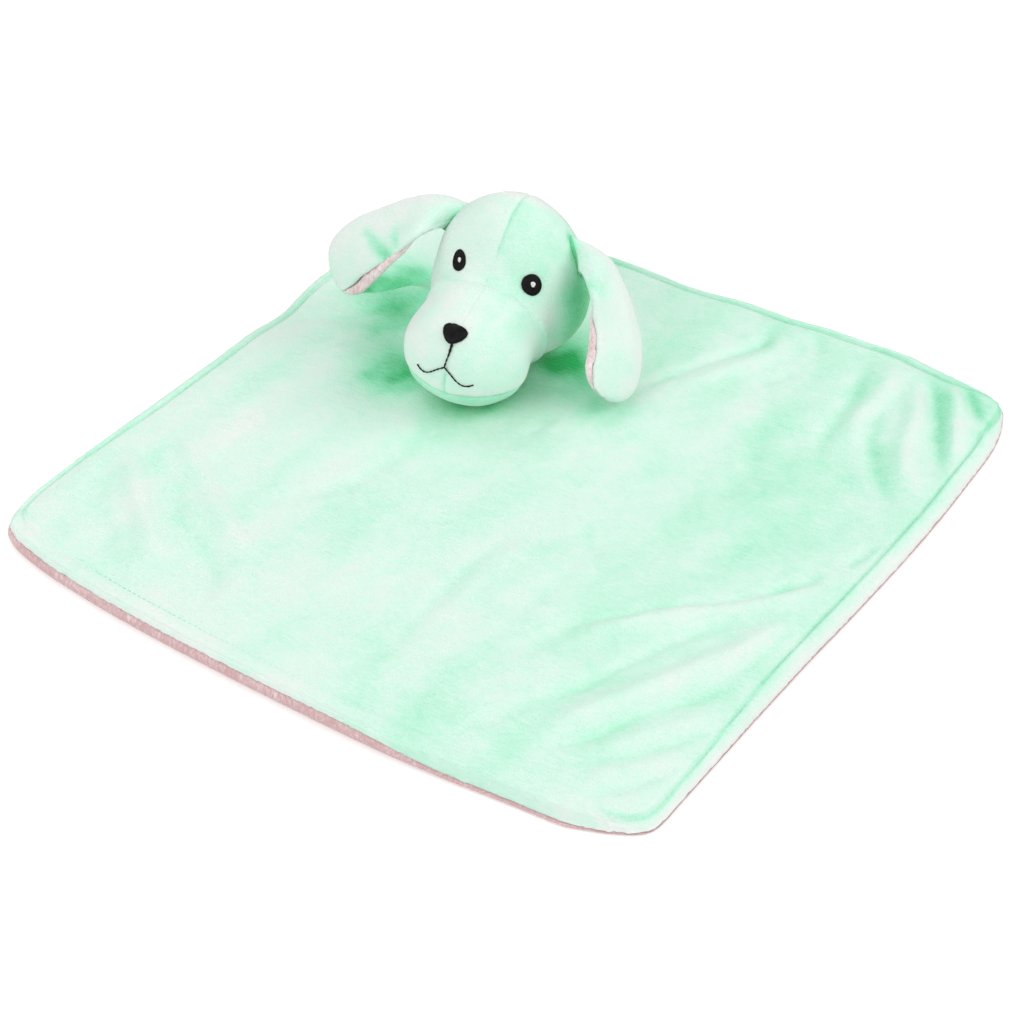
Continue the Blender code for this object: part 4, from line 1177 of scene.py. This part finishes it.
def flap_frame(stations, share):
    """The flap's middle, the directions across and out of it, its half width and its tip's rounding."""
    here = on_open_curve(stations, share)
    before, after = [on_open_curve(stations, near)
                     for near in (max(share - EAR_AHEAD, 0), min(share + EAR_AHEAD, 1))]
    forward = Vector((after - before)[:3])
    forward.normalize()
    twist = here[4] * pi / 2
    across = Vector((sin(twist), cos(twist), 0))
    across = (across - forward * across.dot(forward)).normalized()
    tip = max(0, (share - EAR_TIP_START) / (1 - EAR_TIP_START))
    rounding = max(sqrt(1 - tip ** 2), EAR_TIP_SHARE)
    return Vector(here[:3]) * EAR_LENGTH, across, forward.cross(across), here[3] * EAR_HALF_WIDTH, rounding


def dent_depth(side_name, share, u):
    """How far the outer layer is pushed in."""
    place = np.array((share * EAR_LENGTH, u * EAR_HALF_WIDTH))
    total = 0
    for *line, half_width, depth in EAR_DENTS[side_name]:
        away, along = from_line(place, *np.array(line).reshape(2, 2) * (EAR_LENGTH, EAR_HALF_WIDTH))
        total += depth * exp(-(away / half_width) ** 2) * (1 - DENT_FADE * along)
    return total


def ear_point(side_name, share, u, is_outer, is_top, at_root):
    """A point of an ear's layer, on the head's right, at a share of its length and of its half width."""
    thickness = EAR_OUTER_THICKNESS if is_outer else EAR_LINING_THICKNESS
    middle, across, normal, half_width, rounding = flap_frame(EAR_STATIONS[side_name], share)
    half = half_width * rounding
    roll = float(np.interp(share, *LINING_ROLL[side_name])) * smooth(-u * 2) * rounding
    skin = thickness * rounding * (EAR_EDGE_SHARE + (1 - EAR_EDGE_SHARE) * sqrt(max(0, 1 - u ** 4)))
    if is_outer:
        reach = u * (half - max(roll, 0))
        dented = max(skin - dent_depth(side_name, share, u), EAR_OUTER_LEAST)
        height = SEAM_GAP / 2 + (dented if is_top else 0)
    else:
        reach = u * (half + min(roll, 0))
        past = np.clip((-reach - (half - roll)) / max(roll, 1e-5), 0, 1) if u < 0 else 0
        plump = LINING_PLUMP * smooth(roll / PLUMP_FULL) * sqrt(max(0, 1 - past ** 2)) if past > 0 else 0
        height = -SEAM_GAP / 2 + plump if is_top else -SEAM_GAP / 2 - skin
    bend = -EAR_CAMBER if u > 0 else EAR_CURL
    point = EAR_ROOT + middle + across * reach
    rise = height + bend * u * u
    if is_outer == is_top:
        rise += float(lumps(point, *EAR_LUMPS)) * (1 - u ** 4) * (1 if is_outer else LINING_LUMP_SHARE)
    sewn = float(smooth(1 - share / (EAR_ROOT_SHARE + EAR_ROOT_SHARE_FRONT * max(0, -u)))) ** EAR_ROOT_CURVE
    seam = EAR_SEAM_LOW.lerp(EAR_SEAM_TOP, (u + 1) / 2) * (EAR_TUCK if at_root else 1)
    outward = normal.lerp(EAR_FACE, sewn).normalized()
    return point.lerp(seam, sewn) + outward * rise * (1 - EAR_ROOT_THIN * sewn)


def ear_layer(side_name, side, is_outer):
    """One layer of an ear as a closed sheet, with its mesh lines closer at its edges and its tip."""
    bm, sides = two_sided_sheet(EAR_ROWS, EAR_COLUMNS)
    tone = []
    for verts, is_top in sides:
        for vert in verts:
            long_share, u = (vert.co.x + 1) / 2, vert.co.y
            u = float(np.sign(u)) * (1 - (1 - abs(u)) ** EDGE_CROWDING)
            share = 1 - (1 - long_share) ** TIP_CROWDING
            point = ear_point(side_name, share, u, is_outer, is_top, long_share == 0)
            vert.co = Vector((side * point.x, point.y, point.z))
            # painted shade in the dents and at the root
            dented = DENT_SHADE * max(dent_depth(side_name, share, u), 0)
            tone.append(EAR_ROOT_SHADE * exp(-share / EAR_ROOT_FADE) + dented - EAR_BACK_TONE * max(u, 0))
    bmesh.ops.recalc_face_normals(bm, faces=bm.faces)
    bm.transform(ON_HEAD)
    kind = "outer" if is_outer else "lining"
    cloth, slot = (MINT_VELBOA, "mint_plush") if is_outer else (PINK_FLEECE, "pink_plush")
    name = "ear_" + side_name + ("_velboa" if is_outer else "_fleece_lining")
    piece = make_piece(name, bm, cloth, None, slot, "ear_" + side_name + "_" + kind)
    if is_outer:
        store_nap_and_light(piece, EAR_TONE + np.array(tone) + wander(*points_of(piece)[:, :2].T, *EAR_STROKES))
    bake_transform(piece)


for side_name, side in SIDES.items():
    for is_outer in (True, False):
        ear_layer(side_name, side, is_outer)

# Eyes and nose: pads of black satin stitch, raised a little over the skin, with a small white glint
# in each eye. The threads of a pad lie side by side, so that it shines in fine ridges.
SATIN_THICKNESS = 0.0012
SATIN_BASE = 0.2
SATIN_LIFT = 0.0002
OUTWARD_STEP = 0.001
THREAD_PITCH = 0.00055
RIDGE_HEIGHT = 0.00020
GLINT_SIZE = 0.0025
GLINT_HEIGHT_SHARE = 1.1
GLINT_THICKNESS = 0.0008
GLINT_SHIFT = Vector((0.0008, 0, 0.0008))
NOSE_SIZE = (0.0166, 0.0108, 0.0018)
NOSE_PLACE = Vector((-0.0018, -0.021, 0.0203))
EYE_THREADS = 0.3
GLINT_THREADS = 1.2
NOSE_THREADS = 0.1

# How ragged a pad's outline is: shares of its size, and how many times finer than the pad they wave
RAGGED_WAVES = ((0.035, 6), (0.025, 19))

# Each eye's place on the head, its width and height, and the angle that it leans by
EYES = {
    "left": ((-0.0172, -0.026, 0.0157), 0.0082, 0.0122, 0.80),
    "right": ((0.0192, -0.026, 0.0153), 0.0105, 0.011, 0),
}
BLACK_THREAD = sewing_thread("black_rayon_thread", "#010101", "#090808", 0.42, 0.16)
WHITE_THREAD = sewing_thread("white_rayon_thread", "#E3D9D6", "#FFFFFF", 0.45, 0.3)


def settle(point, middle, radii, taper, lift):
    """Moves a point to a ball's skin, and then outward by lift."""
    away = point - middle
    for _ in range(4):
        grow = 1 - taper * away.z / radii.z
        unit = Vector((away.x / radii.x / grow, away.y / radii.y / grow, away.z / radii.z))
        away = away / unit.length
    normal = over_radii(unit, radii).normalized()
    other = (MUZZLE_MIDDLE, MUZZLE_RADII) if middle.length == 0 else (HEAD_CENTRE, HEAD_RADII)
    place = middle + away
    return place + normal * lift + blend_balls(place, normal, *other, 0)


def satin_pad(outline, size, lift, ground, thread_turn, lean=0):
    """A pad of parallel threads on a ball's skin, leaned over by an angle."""
    width, height, thickness = size
    middle, radii, taper, place = ground
    place = settle(place, middle, radii, taper, 0)
    outward = (settle(place, middle, radii, taper, OUTWARD_STEP) - place).normalized()
    level_line = Vector((0, 0, 1)).cross(outward).normalized()
    across = Matrix.Rotation(lean, 3, outward) @ level_line
    upward = outward.cross(across)
    bm = bmesh.new()
    bmesh.ops.create_uvsphere(bm, u_segments=96, v_segments=56, radius=1)
    for vert in bm.verts:
        ragged = 1 + sum(share * noise.noise(vert.co * finer) for share, finer in RAGGED_WAVES)
        u, v = outline(vert.co.x * ragged, vert.co.y * ragged)
        rise = vert.co.z if vert.co.z > 0 else vert.co.z * SATIN_BASE
        level = thickness * (rise + SATIN_BASE) / (1 + SATIN_BASE)
        thread = (u * width * cos(thread_turn) + v * height * sin(thread_turn)) / 2
        level += RIDGE_HEIGHT * cos(2 * pi * thread / THREAD_PITCH) if vert.co.z > 0 else 0
        point = place + across * (u * width / 2) + upward * (v * height / 2)
        vert.co = settle(point, middle, radii, taper, lift + level)
    bm.transform(ON_HEAD)
    return bm


def round_outline(u, v):
    """An even oval."""
    return u, v


def uneven_outline(u, v):
    """A small oval of a few uneven stitches."""
    return u * (1 + 0.25 * v), v * (1 - 0.2 * u)


def nose_outline(u, v):
    """A rounded triangle with its point down and a shallow dip in its top edge."""
    return u * (1 - 0.26 * (1 - v)), v - 0.10 * (1 - u * u) * max(v, 0)


for side_name, (place, width, height, lean) in EYES.items():
    ground = (HEAD_CENTRE, HEAD_RADII, HEAD_TAPER, Vector(place))
    pad = satin_pad(round_outline, (width, height, SATIN_THICKNESS), SATIN_LIFT, ground, EYE_THREADS, lean)
    make_piece("eye_satin_" + side_name, pad, BLACK_THREAD, "head", "black_thread", "eye_" + side_name)
    ground = (HEAD_CENTRE, HEAD_RADII, HEAD_TAPER, Vector(place) + GLINT_SHIFT)
    size = (GLINT_SIZE * width / height, GLINT_SIZE * GLINT_HEIGHT_SHARE, GLINT_THICKNESS)
    pad = satin_pad(uneven_outline, size, SATIN_THICKNESS, ground, GLINT_THREADS, lean)
    make_piece("glint_satin_" + side_name, pad, WHITE_THREAD, "head", "white_thread",
               "eye_glint_" + side_name)

ground = (MUZZLE_MIDDLE, MUZZLE_RADII, 0, MUZZLE_MIDDLE + NOSE_PLACE)
pad = satin_pad(nose_outline, NOSE_SIZE, SATIN_LIFT, ground, NOSE_THREADS)
make_piece("nose_satin", pad, BLACK_THREAD, "head", "black_thread", "nose")

# Mouth: backstitches of black thread, one line down from the nose and a smile to both sides of it.
# Its points are across and up as shares of half the muzzle's width and height.
MOUTH_RADIUS = 0.00036
MOUTH_LIFT = 0.0003
MOUTH_SHIFT = -0.035
PHILTRUM_SHARES = ((0.010, 0.70), (0.014, 0.50), (0.004, 0.38), (0.0, 0.27))
PHILTRUM_START = 2.2
LIP_SHARES = ((0.0, 0.27), (0.115, 0.175), (0.215, 0.070), (0.305, 0.010), (0.39, 0.010), (0.455, 0.050))
BACKSTITCH = 0.0024
RINGS_PER_SPAN = 14
WAIST_SHARE = 0.66
SWELL_SHARE = 0.46
UNEVEN_SHARE = 0.25
UNEVEN_PER_METRE = 900
TAPER_RATE = 2.2


def line_on_muzzle(shares, mirror, steps):
    """Points along a smooth curve through the shares, on the skin of the muzzle."""
    points = []
    for step in range(steps + 1):
        x, z = on_open_curve(shares, step / steps)
        x = mirror * x + MOUTH_SHIFT
        unit = (x, -sqrt(1 - x * x - z * z), z)
        front = Vector([share * radius for share, radius in zip(unit, MUZZLE_RADII)])
        points.append(settle(MUZZLE_MIDDLE + front, MUZZLE_MIDDLE, MUZZLE_RADII, 0, MOUTH_LIFT))
    return points


def stitched_line(bm, shares, mirror, thick_start):
    """A line of backstitches, each a swelling of the thread, that starts thicker than it ends."""
    steps = RINGS_PER_SPAN * (len(shares) - 1)
    points = line_on_muzzle(shares, mirror, steps)
    travelled = 0
    loops = []
    for index, point in enumerate(points):
        if index:
            travelled += (point - points[index - 1]).length
        direction = points[min(index + 1, steps)] - points[max(index - 1, 0)]
        turn = direction.to_track_quat("Z", "Y").to_matrix().to_4x4()
        swell = SWELL_SHARE * abs(sin(pi * travelled / BACKSTITCH))
        bulge = WAIST_SHARE + swell + UNEVEN_SHARE * noise.noise(point * UNEVEN_PER_METRE)
        taper = 1 + (thick_start - 1) * max(0, 1 - TAPER_RATE * index / steps)
        ring = bmesh.ops.create_circle(
            bm, cap_ends=index in (0, steps), segments=10, radius=MOUTH_RADIUS * bulge * taper,
            matrix=Matrix.Translation(point) @ turn)["verts"]
        loops.append([edge for edge in {edge for vert in ring for edge in vert.link_edges}
                      if edge.verts[0] in ring and edge.verts[1] in ring])
    for first, second in zip(loops, loops[1:]):
        bmesh.ops.bridge_loops(bm, edges=first + second)


mouth = bmesh.new()
stitched_line(mouth, PHILTRUM_SHARES, 1, PHILTRUM_START)
for side in SIDES.values():
    stitched_line(mouth, LIP_SHARES, side, 1)
bmesh.ops.recalc_face_normals(mouth, faces=mouth.faces)
mouth.transform(ON_HEAD)
make_piece("mouth_backstitch", mouth, BLACK_THREAD, "head", "black_thread", "mouth")

# Table and backdrop: a wide white sheet of paper under the blanket, which keeps its soft shadow.
# Seen by the camera it is a shade brighter than it lights the toy.
FLOOR_SIZE = 12
FLOOR_GAP = 0.0003
FLOOR_GLOW = 0.30


def seen_directly(owner):
    """Is 1 for what the camera sees, by itself or through a reflection or a clear piece, and 0 for light."""
    rays = add_node(owner, "LightPath").outputs
    seen = rays["Is Camera Ray"]
    for kind in ("Is Glossy Ray", "Is Transmission Ray"):
        seen = add_node(owner, "Math", {"operation": "MAXIMUM"}, {0: seen, 1: rays[kind]}).outputs[0]
    return seen


def white_floor():
    """Matte white paper, lifted to pure white for the camera alone."""
    material, shader = new_material("matte_white_paper", {"Base Color": linear("#F4F4F4"), "Roughness": 0.9})
    lift = add_node(material, "Math", {"operation": "MULTIPLY", 1: FLOOR_GLOW}, {0: seen_directly(material)})
    glow = add_node(material, "Emission", {"Color": (1, 1, 1, 1)}, {"Strength": lift.outputs[0]})
    both = add_node(material, "AddShader", {}, {0: shader.outputs[0], 1: glow.outputs[0]})
    link_inputs(material, material.node_tree.nodes["Material Output"], {"Surface": both.outputs[0]})
    return material


floor_mesh = bmesh.new()
bmesh.ops.create_grid(floor_mesh, x_segments=1, y_segments=1, size=FLOOR_SIZE / 2)
bmesh.ops.translate(floor_mesh, verts=floor_mesh.verts, vec=(0, 0, -FLOOR_GAP))
make_object("floor", floor_mesh, white_floor())

# Studio: a white surround, and three softboxes: a weak one above on the left, a strong one far off
# on the right, and one in front.
SURROUND = 0.56
AIM = Vector((0, 0.02, 0.02))
SOFTBOXES = (
    ("softbox_behind", (-0.60, 0.30, 1.35), 1.1, 4.0),
    ("softbox_right", (2.10, 1.10, 1.60), 1.7, 31.0),
    ("softbox_front", (-0.20, -1.40, 0.95), 1.2, 8.6),
)
world = bpy.data.worlds.new("white_studio")
bpy.context.scene.world = world
world.use_nodes = True
sky = world.node_tree.nodes["Background"]
sky.inputs["Color"].default_value = (1, 1, 1, 1)
level = add_node(world, "MapRange", {"To Min": SURROUND, "To Max": 1}, {"Value": seen_directly(world)})
link_inputs(world, sky, {"Strength": level.outputs["Result"]})

for name, place, size, watts in SOFTBOXES:
    lamp = bpy.data.lights.new(name, "AREA")
    lamp.size = size
    lamp.energy = watts
    softbox = bpy.data.objects.new(name, lamp)
    bpy.context.collection.objects.link(softbox)
    softbox.location = place
    softbox.rotation_euler = (Vector(place) - AIM).to_track_quat("Z", "Y").to_euler()

# Camera: above the corner nearest the viewer, far enough off for little perspective.
CAMERA_PLACE = (0.5342, -0.7163, 0.6691)
CAMERA_LENS = 81.21
CAMERA_AXES = ((0.8136, 0.5806, -0.0304), (-0.3356, 0.5117, 0.7909), (0.4748, -0.6333, 0.6112))
camera_data = bpy.data.cameras.new("camera")
camera_data.lens = CAMERA_LENS
camera_data.sensor_width = 36
camera = bpy.data.objects.new("camera", camera_data)
bpy.context.collection.objects.link(camera)
camera.matrix_world = Matrix.Translation(CAMERA_PLACE) @ Matrix(CAMERA_AXES).transposed().to_4x4()
bpy.context.scene.camera = camera
bpy.context.scene.view_settings.view_transform = "Standard"
